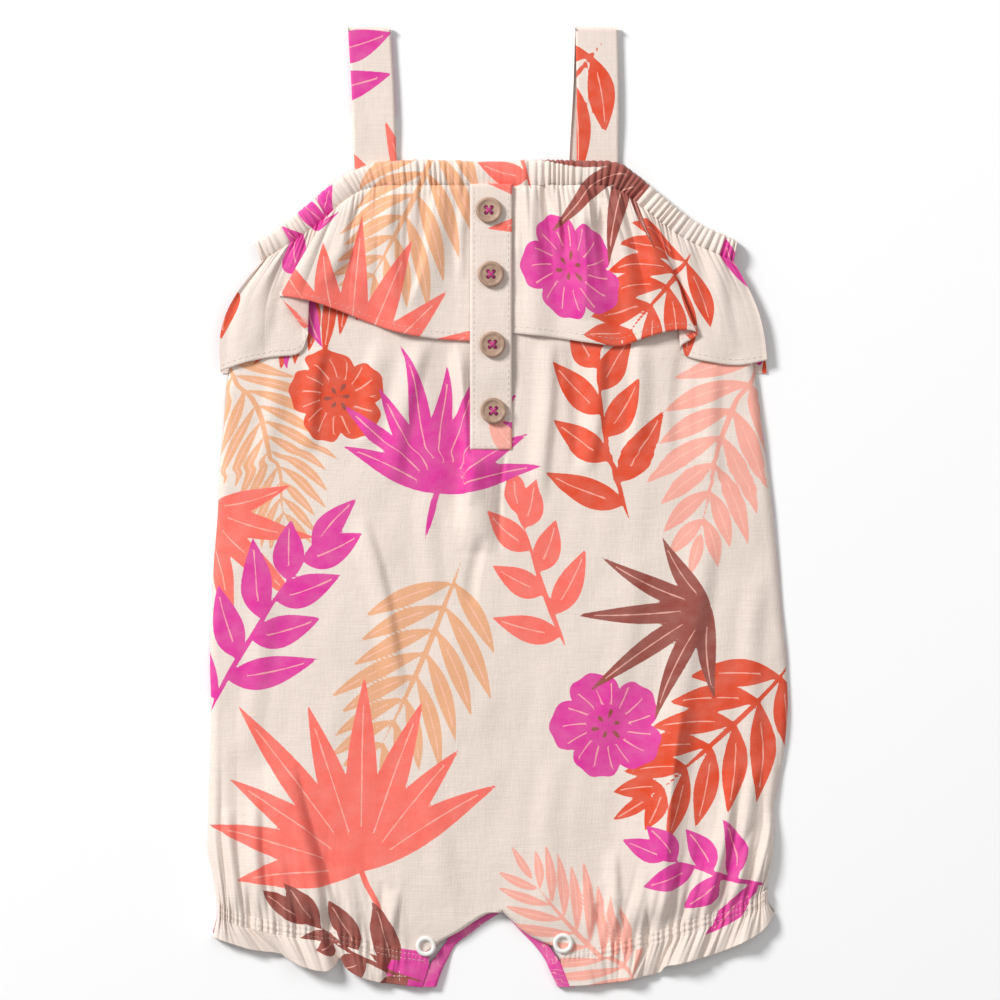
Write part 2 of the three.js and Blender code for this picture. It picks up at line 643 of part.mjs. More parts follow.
// A strap folded over at its top: down its front layer to the casing, and up its back layer.
function strap({ topLeft, topRight, lowLeft, lowRight, backShift }) {
  const height = 2 * WALL.strap + STRAP_GAP;
  const turn = height / 2;
  const foldY = STRAP_TOP - turn;
  const lowest = outerEdgeY(lerp(lowLeft, lowRight, 0.5));
  const rowAt = (y, z, layer, reachesCasing) => {
    const up = (y - lowest) / (STRAP_TOP - lowest);
    const shift = backShift * (1 - layer) * (1 - up);
    return [0, 0.5, 1].map((share) => {
      const x = lerp(lerp(lowLeft, topLeft, up), lerp(lowRight, topRight, up), share) + shift;
      return [x, reachesCasing ? outerEdgeY(x) + SLANT_SEAM + SEAM : y, z];
    });
  };
  const layer = (front) =>
    Array.from({ length: GRID.strapRows + 1 }, (_, r) => {
      const share = r / GRID.strapRows;
      const z = front ? height + STRAP_LIFT * smoothStep(0.4, 1, share) : 0;
      return rowAt(lerp(foldY, lowest + SLANT_SEAM, share), z, front ? 1 : 0, r === GRID.strapRows);
    });
  const fold = Array.from({ length: GRID.strapTurn - 1 }, (_, t) => {
    const angle = Math.PI * ((t + 1) / GRID.strapTurn - 0.5);
    return rowAt(foldY + turn * Math.cos(angle), turn + turn * Math.sin(angle), (1 + Math.sin(angle)) / 2);
  });
  const path = [...layer(false).reverse(), ...fold, ...layer(true)];
  return clothWall([path], inwards(WALL.strap));
}

// Places round a flattened tube: along its front from left to right, round the right end, back along
// its underside and round the left end. lift is 1 on the front and 0 on the underside.
function loopPlaces(frontSteps) {
  const places = [];
  for (let i = 0; i <= frontSteps; i++) places.push({ along: i / frontSteps, lift: 1, bulge: 0 });
  const turn = (end, direction) => {
    for (let t = 1; t < GRID.loopTurn; t++) {
      const angle = Math.PI / 2 - (Math.PI * t) / GRID.loopTurn;
      const lift = (1 + direction * Math.sin(angle)) / 2;
      places.push({ along: end, lift, bulge: direction * Math.cos(angle) });
    }
  };
  turn(1, 1);
  for (let i = 0; i <= GRID.loopBack; i++) places.push({ along: 1 - i / GRID.loopBack, lift: 0, bulge: 0 });
  turn(0, -1);
  places.push(places[0]);
  return places;
}

// Point of a flattened tube. top is the front's height, and each end is rounded off by half of it.
function loopPoint(line, { along, lift, bulge }, top) {
  const length = Math.abs(line(1)[0] - line(0)[0]);
  const pull = top / 2 / length;
  const place = line(lerp(pull, 1 - pull, along));
  const end = line(along);
  const [x, y] = place.map((value, axis) => lerp(value, end[axis], Math.abs(bulge)));
  return [x, y, top * lift];
}

function legCasing(side) {
  const rows = numbered(LEG_LINE[side]);
  const places = loopPlaces(LEG_GATHERS * 2);
  const line = (share) => pointOn(rows, share);
  const across = [1, 0, -1];
  const grid = across.map((end) =>
    places.map((place, i) => {
      const [x, y, z] = loopPoint(line, place, LEVEL.cuff);
      const gathered = place.lift === 1 && i > 0 && i < LEG_GATHERS * 2;
      const ripple = gathered ? (i % 2 ? 1 : -1) * LEG_GATHER_HEIGHT * uneven(i, 3) : 0;
      const crown = place.lift === 1 && end === 0 ? LEG_BAND_CROWN : 0;
      return [x, y + (end * LEG_BAND) / 2, z + ripple + crown];
    }),
  );
  return clothWall([grid], inwards(WALL.legCasing));
}

function legFrill(side) {
  const hem = numbered(FRILL_HEM[side]);
  const elastic = numbered(LEG_LINE[side]);
  const places = loopPlaces(GRID.frillFront);
  const grid = Array.from({ length: GRID.frillRows + 1 }, (_, r) => {
    const v = r / GRID.frillRows;
    const line = (share) => {
      const [seamX, seamY] = pointOn(elastic, columnAt(hem, "share", "line", share));
      const [hemX, hemY] = pointOn(hem, share);
      return [lerp(seamX, hemX, v), lerp(seamY - LEG_BAND / 2 - FRILL_SEAM, hemY, v)];
    };
    return places.map((place) => {
      const hemZ = columnAt(hem, "share", "z", place.along);
      const [x, y, z] = loopPoint(line, place, lerp(LEVEL.cuff, hemZ, v));
      return [x, y + FRILL_BACK_SHORT * v * (1 - place.lift), z];
    });
  });
  return clothWall([grid], inwards(WALL.frill));
}

// The strip along the leg arch, thicker at the leg ends where its two halves lie snapped together.
function inseamPlacket() {
  const left = [...ARCH.outline.left].reverse();
  const rows = numbered([...left, ...ARCH.outline.right.slice(1)]);
  const grid = gridOf(2, GRID.inseamColumns, (share, across) => {
    const [x, y] = pointOn(rows, share);
    const end = smoothStep(0.25, 0.5, Math.abs(share - 0.5));
    const sideways = INSEAM.width * (1 - across) * Math.sign(share - 0.5) * end;
    const upwards = INSEAM.width * (1 - across) * (1 - end);
    const doubled = smoothStep(0.28, 0.44, Math.abs(share - 0.5));
    return [x + sideways, y + upwards, lerp(INSEAM.apexHeight, INSEAM.endHeight, doubled)];
  });
  return clothWall([grid], toLevel(0));
}

const wasm = await Module();
wasm.setup();
const { Manifold, CrossSection } = wasm;

function geometryOf(solid) {
  const mesh = solid.getMesh();
  const geometry = new THREE.BufferGeometry();
  geometry.setAttribute("position", new THREE.BufferAttribute(mesh.vertProperties, 3));
  geometry.setIndex(new THREE.BufferAttribute(mesh.triVerts, 1));
  return geometry;
}

// A four-hole button: a disc with a raised rim round a dished middle.
function button({ x, y }) {
  const { radius, thick, rim, dish, holeRadius, holeOffset } = BUTTON;
  const profile = [
    [0, 0],
    [radius, 0],
    [radius, thick - 0.5],
    [radius - 0.5, thick],
    [radius - rim, thick],
    [radius - rim - 0.7, thick - dish],
    [0, thick - dish],
  ];
  let solid = Manifold.revolve(new CrossSection([profile]), GRID.buttonSides);
  for (const [sx, sy] of [[-1, -1], [-1, 1], [1, -1], [1, 1]]) {
    const hole = Manifold.cylinder(thick + 2, holeRadius, holeRadius, GRID.holeSides);
    solid = solid.subtract(hole.translate([sx * holeOffset, sy * holeOffset, -1]));
  }
  const levels = [y - radius, y, y + radius].map(placketHeight);
  return geometryOf(solid.translate([x, y, Math.max(...levels) + SEAM]));
}

// A ring snap: a rounded ring that is open in the middle.
function snap({ x, y }) {
  const { radius, hole, thick } = SNAP;
  const profile = [
    [hole, 0],
    [radius, 0],
    [radius, thick * 0.5],
    [radius - 0.5, thick],
    [hole + 0.5, thick],
    [hole, thick * 0.6],
  ];
  const solid = Manifold.revolve(new CrossSection([profile]), GRID.snapSides);
  return geometryOf(solid.translate([x, y, LEVEL.snap]));
}

const group = new THREE.Group();
group.name = "baby_romper";

function add(name, geometry, colour) {
  const material = new THREE.MeshStandardMaterial({ color: colour, roughness: 0.85 });
  const mesh = new THREE.Mesh(geometry, material);
  mesh.name = name;
  group.add(mesh);
}

add("back_panel", backPanel(), COLOURS.back);
add("front_panel", frontPanel(), COLOURS.cloth);
add("back_ruffle", backRuffle(), COLOURS.back);
add("front_ruffle_left", frontRuffle("left"), COLOURS.ruffle);
add("front_ruffle_right", frontRuffle("right"), COLOURS.ruffle);
add("back_casing", backCasing(), COLOURS.back);
for (const [name, casing] of Object.entries(CASINGS)) add(name, frontCasing(casing), COLOURS.casing);
add("button_placket", buttonPlacket(), COLOURS.placket);
BUTTONS.forEach((place, i) => add(`button_${i + 1}`, button(place), COLOURS.button));
for (const [name, edges] of Object.entries(STRAPS)) add(name, strap(edges), COLOURS.cloth);
for (const side of ["left", "right"]) {
  add(`leg_casing_${side}`, legCasing(side), COLOURS.casing);
  add(`leg_frill_${side}`, legFrill(side), COLOURS.frill);
}
add("inseam_placket", inseamPlacket(), COLOURS.inseam);
for (const [name, place] of Object.entries(SNAPS)) add(name, snap(place), COLOURS.snap);

export default group;
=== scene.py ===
# Looks of the baby romper: cloth shells, print, stitches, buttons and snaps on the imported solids.
# Tables and sizes are in millimetres, in the frame of the solids: Z is up, and +Y runs to the straps.
import math

import bpy
import numpy as np
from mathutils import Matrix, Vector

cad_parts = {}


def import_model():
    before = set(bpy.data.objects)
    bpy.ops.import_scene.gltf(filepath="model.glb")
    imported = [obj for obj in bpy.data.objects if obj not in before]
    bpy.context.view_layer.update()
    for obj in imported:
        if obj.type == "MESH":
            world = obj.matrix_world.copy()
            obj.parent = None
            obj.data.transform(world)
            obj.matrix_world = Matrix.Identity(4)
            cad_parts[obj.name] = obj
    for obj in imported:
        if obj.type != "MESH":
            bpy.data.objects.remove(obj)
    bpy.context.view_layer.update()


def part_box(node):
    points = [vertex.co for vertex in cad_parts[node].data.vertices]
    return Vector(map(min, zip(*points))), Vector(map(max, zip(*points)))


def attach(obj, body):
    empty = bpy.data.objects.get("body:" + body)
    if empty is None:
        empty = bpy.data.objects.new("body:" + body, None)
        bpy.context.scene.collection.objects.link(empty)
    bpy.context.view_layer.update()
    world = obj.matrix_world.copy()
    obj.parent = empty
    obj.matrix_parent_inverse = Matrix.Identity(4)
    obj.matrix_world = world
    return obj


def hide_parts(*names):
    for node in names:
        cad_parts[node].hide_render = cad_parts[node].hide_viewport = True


MM = 0.001
FLAT_UNIT = 400  # millimetres of flat cloth across one unit of UV

CAMERA = {"x": 0.9, "y": 2.9, "height": 2200, "frame": 440}
LIGHTS = {  # place and size in metres, and power
    "key": ((-2.85, 2.25, 2.7), 1.35, 203),
    "fill": ((0.9, 0.6, 1.6), 1.4, 5),
}
SKY_STRENGTH = 0.36

COLOURS = {
    "ground": "#EEDFD5",
    "ground_shade": "#E4D4C9",
    "wrong_side": "#EFCDC4",
    "brown": "#96483E",
    "peach": "#E9AC82",
    "salmon": "#F6AA9A",
    "coral": "#F96F62",
    "orange": "#DF4A28",
    "magenta": "#DD369A",
    "vein": "#FFC4B4",
    "button": "#BE9F88",
    "button_dark": "#9C7D69",
    "thread": "#D83C92",
    # painted shade: the thread's magenta, darkened as the shade down the button holes
    "button_hole_shade": "#7A1548",
    "stitch": "#F2E6DD",
    "snap": "#F4F1ED",
    "floor": "#FAFAFA",
}
INKS = ("peach", "salmon", "coral", "orange", "magenta", "brown")  # lowest to topmost

# The neck and armhole edge: distance along it, its outer line, its inner line.
TOP_EDGE = np.array([
    (0, -106.9, 115.9, -103.8, 107.6),
    (25.2, -87.1, 129.8, -81.8, 122.1),
    (48.1, -69.5, 144.5, -64.2, 136.6),
    (61.8, -55.4, 150.9, -52.8, 140.6),
    (73.3, -43.1, 152.0, -42.2, 141.0),
    (117.0, 0.9, 152.0, 0.9, 141.0),
    (160.4, 44.9, 152.0, 44.0, 141.0),
    (168.0, 53.7, 150.6, 50.2, 140.1),
    (176.8, 62.5, 144.5, 56.3, 137.1),
    (205.2, 84.5, 126.9, 78.8, 119.5),
    (230.5, 105.2, 116.4, 103.4, 107.6),
])
CASINGS = {
    "armhole_casing_left": (0, 57.5),
    "neck_casing_front": (55.5, 172),
    "armhole_casing_right": (170.5, 230.5),
}

# Side seams: height, left, right.
SIDES = np.array([
    (-178, -123.0, 117.5),
    (-168, -124.1, 118.2),
    (-152, -127.2, 121.2),
    (-131, -127.2, 121.4),
    (-110, -126.5, 125.4),
    (-89, -126.1, 127.4),
    (-67, -126.7, 126.6),
    (-46, -125.8, 124.5),
    (-25, -125.0, 122.8),
    (-4, -123.3, 121.0),
    (17, -122.3, 118.5),
    (38, -120.5, 115.6),
    (54, -119.3, 113.6),
    (80, -114.5, 109.5),
    (107.2, -104.0, 103.4),
])
CENTRE_TOP_X = -3.0

# Edge of the leg arch on each side, from its top to the leg end.
ARCH_OUTLINE = {
    "left": [
        (2.2, -178.6), (-4.4, -182), (-11.4, -187.2), (-18.5, -192.6),
        (-21.8, -198.5), (-24.8, -204.5), (-27, -211),
    ],
    "right": [
        (2.2, -178.6), (6.2, -182.6), (9.7, -186.5), (16.2, -193.2),
        (20.5, -199), (23, -204.5), (26, -211),
    ],
}
ARCH_FRONT = {
    "left": [(2.2, -178.6), (-4, -178.9), (-10.6, -182.6), (-16.5, -186.6), (-24.5, -191), (-30.4, -195.8)],
    "right": [(2.2, -178.6), (6.4, -182.2), (10.2, -186), (17.2, -190.4), (27.6, -194.7)],
}
ARCH_BACK = {
    "left": [(2.2, -172), (-4.4, -175), (-11.4, -180), (-18.5, -185.5), (-24.3, -191), (-30.4, -196)],
    "right": [(2.2, -172), (6.2, -175.5), (9.7, -179.5), (16.2, -186), (21.5, -190.5), (27.6, -195)],
}
ARCH_SHARE = 0.88  # share of the way down the body at which the arch begins

# Elastic line of each leg end, from its side seam to the arch.
LEG_LINE = {
    "left": [
        (-123.2, -176.7), (-113.5, -181.2), (-94.2, -185.5),
        (-71.7, -189), (-48.4, -195.6), (-30.4, -198.6),
    ],
    "right": [
        (118.6, -171), (110.4, -175.8), (95.9, -180.8), (80.5, -185.7),
        (64.7, -190.7), (44.9, -195.4), (27.6, -197.5),
    ],
}
LEG_BAND = 5.6  # width of the elastic band
BAND_SEAMS = (0.3, 0.72)  # its two rows of stitches, as shares of its width
FRILL_DEPTH = 14
LEG_LEVEL = 4.0
SEAM_LEVEL = 0.9  # of the front's side seams
GATHER_LEVEL = 4.6  # of the seam between the casings and the ruffle
RUFFLE_FLOOR = 4.5  # top of the body under the ruffle, with a little room
RUFFLE_DEPTH = 68
RUFFLE_BACK = {"hem_y": 58.6, "half_width": 113}
CASING_WIDTH = 11
FULLNESS = 1.6  # flat length of an elastic edge for each length laid

GATHER_LEAN = {"left": -0.1, "right": 0.28}
GATHER_SEED = {"left": 21, "right": 31}

# Deep creases across each leg end: place along the elastic line, lean, width and depth.
LEG_CREASES = {
    "left": [(24.5, 0.15, 1.8, 2.4), (55.0, 0.0, 1.3, 2.2), (69.5, -0.1, 1.2, 1.8), (78.0, -0.2, 1.3, 1.6)],
    "right": [(10.0, 0.1, 1.4, 1.4), (31.0, 0.1, 1.5, 1.6), (52.0, 0.1, 1.4, 2.2), (63.0, 0.2, 1.3, 2.0)],
}

# Columns of the body front's grid, with close ones next to the side seam.
BODY_COLUMNS = 160
BODY_HALF_WIDTH = 123.0
EDGE_STEPS = (0.2, 0.5, 0.9, 1.4, 2.0, 2.8)

# Hem of each leg frill from its side seam to the arch: share of the elastic line, x, y, height.
FRILL_HEM = {
    "left": np.array([
        (0.0, -125.4, -189.0, 3.2), (0.08, -118.0, -191.6, 4.6), (0.19, -107.0, -194.8, 4.4),
        (0.29, -96.0, -196.4, 2.0), (0.33, -93.0, -198.0, 4.6), (0.42, -85.5, -201.8, 7.6),
        (0.52, -76.0, -204.0, 7.0), (0.565, -71.4, -201.8, 4.4), (0.585, -69.4, -198.4, 1.4),
        (0.61, -66.8, -202.6, 4.6), (0.68, -60.0, -206.6, 6.8), (0.76, -52.0, -209.0, 4.8),
        (0.82, -47.6, -209.6, 2.4), (0.9, -40.0, -210.4, 4.6), (1.0, -33.4, -211.2, 3.4),
    ]),
    "right": np.array([
        (0.0, 121.6, -179.4, 3.0), (0.07, 115.6, -186.8, 4.8), (0.16, 107.0, -191.6, 6.2),
        (0.26, 97.0, -196.0, 3.0), (0.34, 90.0, -198.0, 5.6), (0.44, 80.4, -200.6, 6.6),
        (0.52, 73.6, -202.0, 5.4), (0.555, 70.8, -205.0, 1.8),
        (0.64, 63.4, -206.6, 3.4), (0.7, 58.0, -207.8, 6.0),
        (0.81, 48.4, -209.4, 3.0), (0.9, 40.0, -210.2, 4.8), (1.0, 31.6, -210.8, 3.4),
    ]),
}

# Hem of each half of the chest ruffle: x at the seam, then x, y and height at the hem. Rows that turn
# back in x are the folds that lie in an S.
RUFFLE_HEM = {
    "left": np.array([
        (-103.8, -121.8, 59.6, 4.6), (-96.0, -112.0, 63.0, 6.4), (-89.0, -100.0, 65.6, 5.4),
        (-83.0, -89.6, 66.6, 5.2), (-80.4, -86.0, 68.6, 5.3), (-78.0, -84.4, 72.6, 5.7),
        (-76.4, -83.4, 76.6, 6.2), (-75.4, -86.4, 79.8, 6.9),
        (-73.8, -93.6, 89.6, 7.6), (-72.8, -95.4, 92.2, 8.8), (-71.0, -88.0, 91.4, 10.0),
        (-67.0, -80.0, 89.6, 9.7), (-62.0, -68.0, 85.4, 7.6), (-54.0, -56.0, 80.6, 6.2),
        (-42.0, -43.0, 76.4, 8.1), (-26.0, -28.0, 73.8, 6.1), (-9.8, -9.8, 72.6, 5.6),
    ]),
    "right": np.array([
        (3.6, 3.6, 76.2, 5.6), (8.0, 8.4, 76.0, 5.6), (14.0, 16.5, 75.2, 6.9), (22.0, 28.0, 73.8, 5.7),
        (33.0, 43.0, 71.6, 7.9), (40.0, 54.0, 70.6, 6.3), (49.0, 63.0, 73.6, 8.1), (58.0, 74.0, 76.8, 9.0),
        (61.0, 82.0, 77.6, 9.8), (63.0, 87.0, 76.6, 9.0), (66.0, 86.4, 74.4, 7.8), (71.0, 80.2, 70.4, 6.5),
        (74.5, 82.2, 66.4, 5.4), (82.0, 94.0, 63.4, 6.3), (90.0, 106.0, 62.2, 5.3), (103.4, 118.2, 64.4, 4.6),
    ]),
}
RUFFLE_BULGE = {"left": 7, "right": 3.4}

# Folds: from x, y to x, y, width on the left and on the right, and rise (a trough where negative).
BODY_FOLDS = [
    (-17, 74, -12, 0, 3.2, 8, 2.8),
    (-23, 74, -15, -8, 12, 3, -2.0),
    (-33, 80, -46, 10, 9, 6, 2.0),
    (-50, 78, -60, 26, 6, 9, 1.8),
    (-76, 78, -84, 24, 7, 5, 2.0),
    (-97, 66, -104, 10, 6, 8, 1.2),
    (-8, -12, -11, -44, 5, 4, -1.2),
    (22, 80, 20, 2, 8, 5, 2.1),
    (33, 78, 34, 14, 5, 5, -1.2),
    (46, 82, 40, 14, 8, 5, 2.2),
    (64, 80, 58, 22, 5, 8, 1.9),
    (80, 74, 80, 20, 5, 6, -1.0),
    (92, 66, 96, 12, 8, 6, 1.6),
    (-60, -4, -41, -82, 9, 4.5, 2.0),
    (-34, 6, -26, -40, 8, 7, 0.9),
    (92, -6, 78, -112, 14, 8, 2.0),
    (60, -20, 52, -96, 10, 8, 0.9),
    (-104, -30, -108, -110, 8, 8, 1.2),
    (112, -30, 112, -110, 8, 7, 1.2),
    (104, -112, 90, -196, 6, 4.5, 2.6),
    (114, -112, 101, -190, 5, 5, 2.2),
    (122, -132, 111, -182, 5, 4, 1.5),
    (-108, -126, -102, -192, 5, 5, 2.3),
    (-118, -132, -114, -188, 4, 5, 1.6),
    (-46, -168, -45, -200, 5, 2.6, 1.8),
    (52, -150, 50, -202, 6, 3.4, 1.9),
    (40, -164, 38, -202, 5, 3, 1.5),
    (-30, -120, -24, -176, 9, 9, 0.9),
    (24, -110, 22, -176, 9, 9, 0.8),
]
TUCKS = [  # soft along the top, with a keen foot on the right
    (-8, 36, -10.5, -20, 9, 13, 3.2),
    (-94, -112, -73, -194, 22, 6, 4.2),
]
RUFFLE_TUCKS = [
    (-44, 142, -48, 80, 16, 6.5, 2.4),
]
SHARP_FOLDS = [  # those with a keen edge
    (82, -84, 68.5, -198, 26, 9, 5.4),
    (5.6, 36, 0.2, -20, 10, 0.8, -1.8),
    (91, -148, 84, -190, 4, 5, -1.6),
    (112, -138, 95, -184, 5, 5, -1.8),
    (45, -174, 44, -196, 2.4, 3.4, -1.8),
    (53, -172, 52, -196, 2.4, 3.4, -1.8),
    (-52, -164, -49, -198, 3, 2.4, -1.4),
    (-99, -150, -96, -196, 3, 2.6, -1.8),
]
SHARP_RUFFLE_FOLDS = [
    (20, 145, 31, 110, 3, 4, -2.2),
    (34, 150, 42.5, 122, 6, 1.6, 2.6),
    (50, 150, 42, 124, 1.6, 5, 1.8),
    (39, 136, 37, 82, 6, 17, 2.4),
    (22, 148, 29.5, 112, 6, 1.8, 2.2),
    (50, 142, 55, 114, 3, 3, -1.8),
    (62, 137, 66, 106, 3, 3, -1.8),
    (-58, 140, -66, 112, 3, 3, -1.5),
]
RUFFLE_FOLDS = [
    (-24, 143, -38, 88, 3.0, 14, 2.4),
    (-44, 140, -64, 88, 9, 7, 1.5),
    (-60, 136, -74, 96, 6, 5, 1.9),
    (-78, 124, -92, 84, 6, 6, 1.4),
    (-94, 112, -108, 66, 8, 6, 1.8),
    (-14, 140, -16, 100, 4, 4, 1.2),
    (12, 142, 18, 100, 4, 5, 1.6),
    (20, 142, 31, 98, 4, 3, -1.3),
    (29, 142, 40, 82, 5, 7, 2.4),
    (42, 140, 50, 96, 4, 3, -1.4),
    (51, 139, 58, 84, 5, 7, 2.3),
    (64, 134, 68, 88, 4, 7, 1.7),
    (78, 122, 88, 76, 6, 6, 1.3),
    (92, 114, 104, 66, 7, 6, 1.8),
]

PLACKET = {"left": -12.3, "right": 6.2, "top": 140.8, "bottom": 24.9, "step_from": 64, "step_to": 42}
PLACKET_X = -3.05
PLACKET_SEAM = 1.7  # from its edge to its stitches
BUTTON_HEIGHTS = (130.0, 101.9, 71.1, 42.0)
STRAPS = {  # edges at the top fold and at the casing, and how far the back layer stands out to the left
    "strap_left": {"top": (-65.8, -47.1), "low": (-62.9, -44.2), "back_shift": 0.0},
    "strap_right": {"top": (34.2, 52.8), "low": (34.8, 53.2), "back_shift": -3.4},
}
STRAP_TOP = 211.0
STRAP_FOLD = 1.7  # how far the fold bulges at the top
STRAP_WIDTH = 19
STRAP_LEVELS = (0.35, 3.65)  # of its back and front layers
SNAP = {"radius": 4.5, "hole": 2.5, "thick": 1.3}
SNAPS = ("snap_left", "snap_right")
BUTTON = {"radius": 5.7, "thick": 2.2, "sunk": 0.56, "hole": 0.75, "hole_at": 1.25}
TACK_AT = (-43.2, -206.2)
MAGENTA_PATCH_X = -48  # where the magenta end of the left leg begins
GRAIN = 0.002  # points that are nearer than this are one

# Print tile, and where on it each piece was cut.
TILE = (290.0, 352.0)
CUT_AT = {
    "body_front": (0, 0),
    "body_back": (131, 96),
    "ruffle": (-8, -60),
    "ruffle_back": (90, 20),
    "casing_back": (10, 60),
    "placket": (120, 66),
    "strap_left": (98, 18),
    "strap_right": (-118, 2),
}


def linear(code):
    """Scene colour of a hex code."""
    parts = [int(code[i : i + 2], 16) / 255 for i in (1, 3, 5)]
    return tuple(p / 12.92 if p <= 0.04045 else ((p + 0.055) / 1.055) ** 2.4 for p in parts) + (1.0,)


def lerp(a, b, share):
    return a + (b - a) * share


def smooth_step(start, end, value):
    share = np.clip((value - start) / (end - start), 0, 1)
    return share * share * (3 - 2 * share)


def curve(knots, values, at):
    """A smooth curve through values at knots, read at other places."""
    knots, values, at = np.asarray(knots, float), np.asarray(values, float), np.asarray(at, float)
    slopes = np.gradient(values, knots)
    if len(knots) > 2:
        slopes[1:-1] = (values[2:] - values[:-2]) / (knots[2:] - knots[:-2])
    i = np.clip(np.searchsorted(knots, at) - 1, 0, len(knots) - 2)
    span = knots[i + 1] - knots[i]
    s = np.clip((at - knots[i]) / span, 0, 1)
    a = (2 * s**3 - 3 * s**2 + 1) * values[i] + (s**3 - 2 * s**2 + s) * span * slopes[i]
    b = (3 * s**2 - 2 * s**3) * values[i + 1] + (s**3 - s**2) * span * slopes[i + 1]
    return a + b


def along(rows, share):
    """Each column of a table of points, read at a share of its number of rows."""
    rows = np.asarray(rows, float)
    knots = np.linspace(0, 1, len(rows))
    return [curve(knots, column, share) for column in rows.T]


def bell(distance):
    """1 at no distance, and next to nothing from 2 on."""
    return np.exp(-(distance**2))


def side_edge_x(side, y):
    return curve(SIDES[:, 0], SIDES[:, 1 if side == "left" else 2], y)


def inner_edge_y(x):
    return curve(TOP_EDGE[:, 3], TOP_EDGE[:, 4], x)


def outer_edge_y(x):
    return curve(TOP_EDGE[:, 1], TOP_EDGE[:, 2], x)


def top_edge(distance, across):
    """x and y on the neck and armhole edge, from its outer line (0) to its inner one (1)."""
    lines = [curve(TOP_EDGE[:, 0], column, distance) for column in TOP_EDGE.T[1:]]
    return lerp(lines[0], lines[2], across), lerp(lines[1], lines[3], across)


def fold_height(folds, x, y, edge="soft"):
    """Height of a table of folds over places in plan, soft, keen at the top or keen at the right foot."""
    height = np.zeros_like(x)
    for x1, y1, x2, y2, left, right, rise in folds:
        dx, dy = x2 - x1, y2 - y1
        length = math.hypot(dx, dy)
        share = ((x - x1) * dx + (y - y1) * dy) / length**2
        across = ((x - x1) * -dy + (y - y1) * dx) / length
        across = across + 1.2 * np.sin(share * 5 + x1)
        width = np.where(across < 0, left, right)
        nearness = 1 - np.clip(np.abs(across) / width, 0, 1)
        bump = 0.5 - 0.5 * np.cos(np.pi * nearness)
        if edge == "keen top":
            bump = nearness**1.5
        if edge == "keen foot":
            bump = np.where(across < 0, bump, 1 - (1 - nearness) ** 2)
        fade = np.clip(1 - (2 * share - 1) ** 4, 0, 1) * ((share > 0) & (share < 1))
        height += rise * bump * fade
    return height


def ripple(x, y, scale, seed):
    """Soft uneven height between about -1 and 1, from a few crossing waves."""
    rng = np.random.default_rng(seed)
    total = np.zeros_like(x)
    for _ in range(7):
        angle, phase = rng.uniform(0, 2 * np.pi, 2)
        pitch = scale * rng.uniform(0.7, 1.5)
        total += np.sin((x * np.cos(angle) + y * np.sin(angle)) * 2 * np.pi / pitch + phase)
    return total / 3.5


def puckers(run, pitch, seed):
    """Gathers along a seam, from 0 in their sharp valleys to about 1 on their ridges, uneven in width."""
    rng = np.random.default_rng(seed)
    wander = np.zeros_like(run)
    for _ in range(4):
        size, stretch, start = rng.uniform(0.3, 0.7), rng.uniform(0.7, 2.6), rng.uniform(0, 6.28)
        wander += size * np.sin(run / (pitch * stretch) + start)
    ridge = np.abs(np.sin(np.pi * run / pitch + wander)) ** 0.9
    return ridge * (0.75 + 0.25 * np.sin(run / (pitch * 1.7) + rng.uniform(0, 6.28)))


def top_gathers(run, away, x):
    """Gathers that the neck and armhole elastic draws in, and that fan out down the ruffle."""
    calm = 0.08 + 0.92 * smooth_step(9, 14, np.abs(x - PLACKET_X))
    corner = 1 - 0.6 * bell((x + 58) / 9)
    fine = 1.6 * puckers(run, 2.7, 4) * np.exp(-away / 6)
    middle = 1.3 * puckers(run + 0.05 * away, 5.6, 8) * np.exp(-((away / 16) ** 1.4))
    broad = 2.3 * puckers(run, 12.5, 6) * (1 - np.exp(-away / 6)) * bell(away / 38)
    return (fine + middle) * calm * corner + broad * calm


def leg_gathers(side, run, away):
    """Gathers that a leg's elastic draws in, longest near the side seam. run is millimetres from there."""
    seed = GATHER_SEED[side]
    share = run / leg_line_length(side)
    inner_end = 1 - 0.92 * smooth_step(0.82, 0.92, share)
    reach = lerp(1.25, 0.7, smooth_step(0.35, 0.8, share))
    fine = 1.3 * puckers(run, 2.7, seed) * np.exp(-away / 8)
    middle = 1.9 * puckers(run + 0.06 * away, 6.0, seed + 1) * np.exp(-((away / (18 * reach)) ** 1.6))
    broad = 2.6 * puckers(run, 11.5, seed + 2) * (1 - np.exp(-away / 7)) * bell(away / (34 * reach))
    crease = np.zeros_like(run)
    for place, lean, width, depth in LEG_CREASES[side]:
        crease += depth * bell((run - place - lean * away) / width)
    return (fine + middle + broad) * inner_end - crease * bell(away / 16)


def leg_line_length(side):
    x, y = along(LEG_LINE[side], np.linspace(0, 1, 80))
    return np.hypot(np.diff(x), np.diff(y)).sum()


def run_at(side, x, away):
    """Distance along the elastic line below a place on the body, as the gathers lean there."""
    share = np.linspace(0, 1, 200)
    line_x, _ = along(LEG_LINE[side], share)
    runs = share * leg_line_length(side)
    lean = GATHER_LEAN[side] * np.minimum(away, 30)
    sign = 1 if side == "left" else -1
    return np.interp(sign * (x - lean), sign * line_x, runs)


def rolled(distance, radius):
    """How far a rolled edge has dropped, from 1 at the edge to 0 at the radius."""
    inside = np.clip(1 - distance / radius, 0, 1)
    return 1 - np.sqrt(1 - inside**2)


def steps(count, edge=(), length=1.0):
    """Shares from 0 to 1, with extra close steps near 0 at the distances named by edge."""
    first = np.array(edge) / length
    start = first[-1] if len(first) else 0.0
    return np.unique(np.concatenate([[0.0], first, np.linspace(start, 1, count)]))


# Print

STEM_WIDTH = 3.0  # blades up to this wide are stems and have no vein
FAR = -4.0  # lowest value of an ink's field, far outside it
DEEP = 8  # highest value, deep inside it
NO_VEIN = 3.0  # distance that stands for no vein near


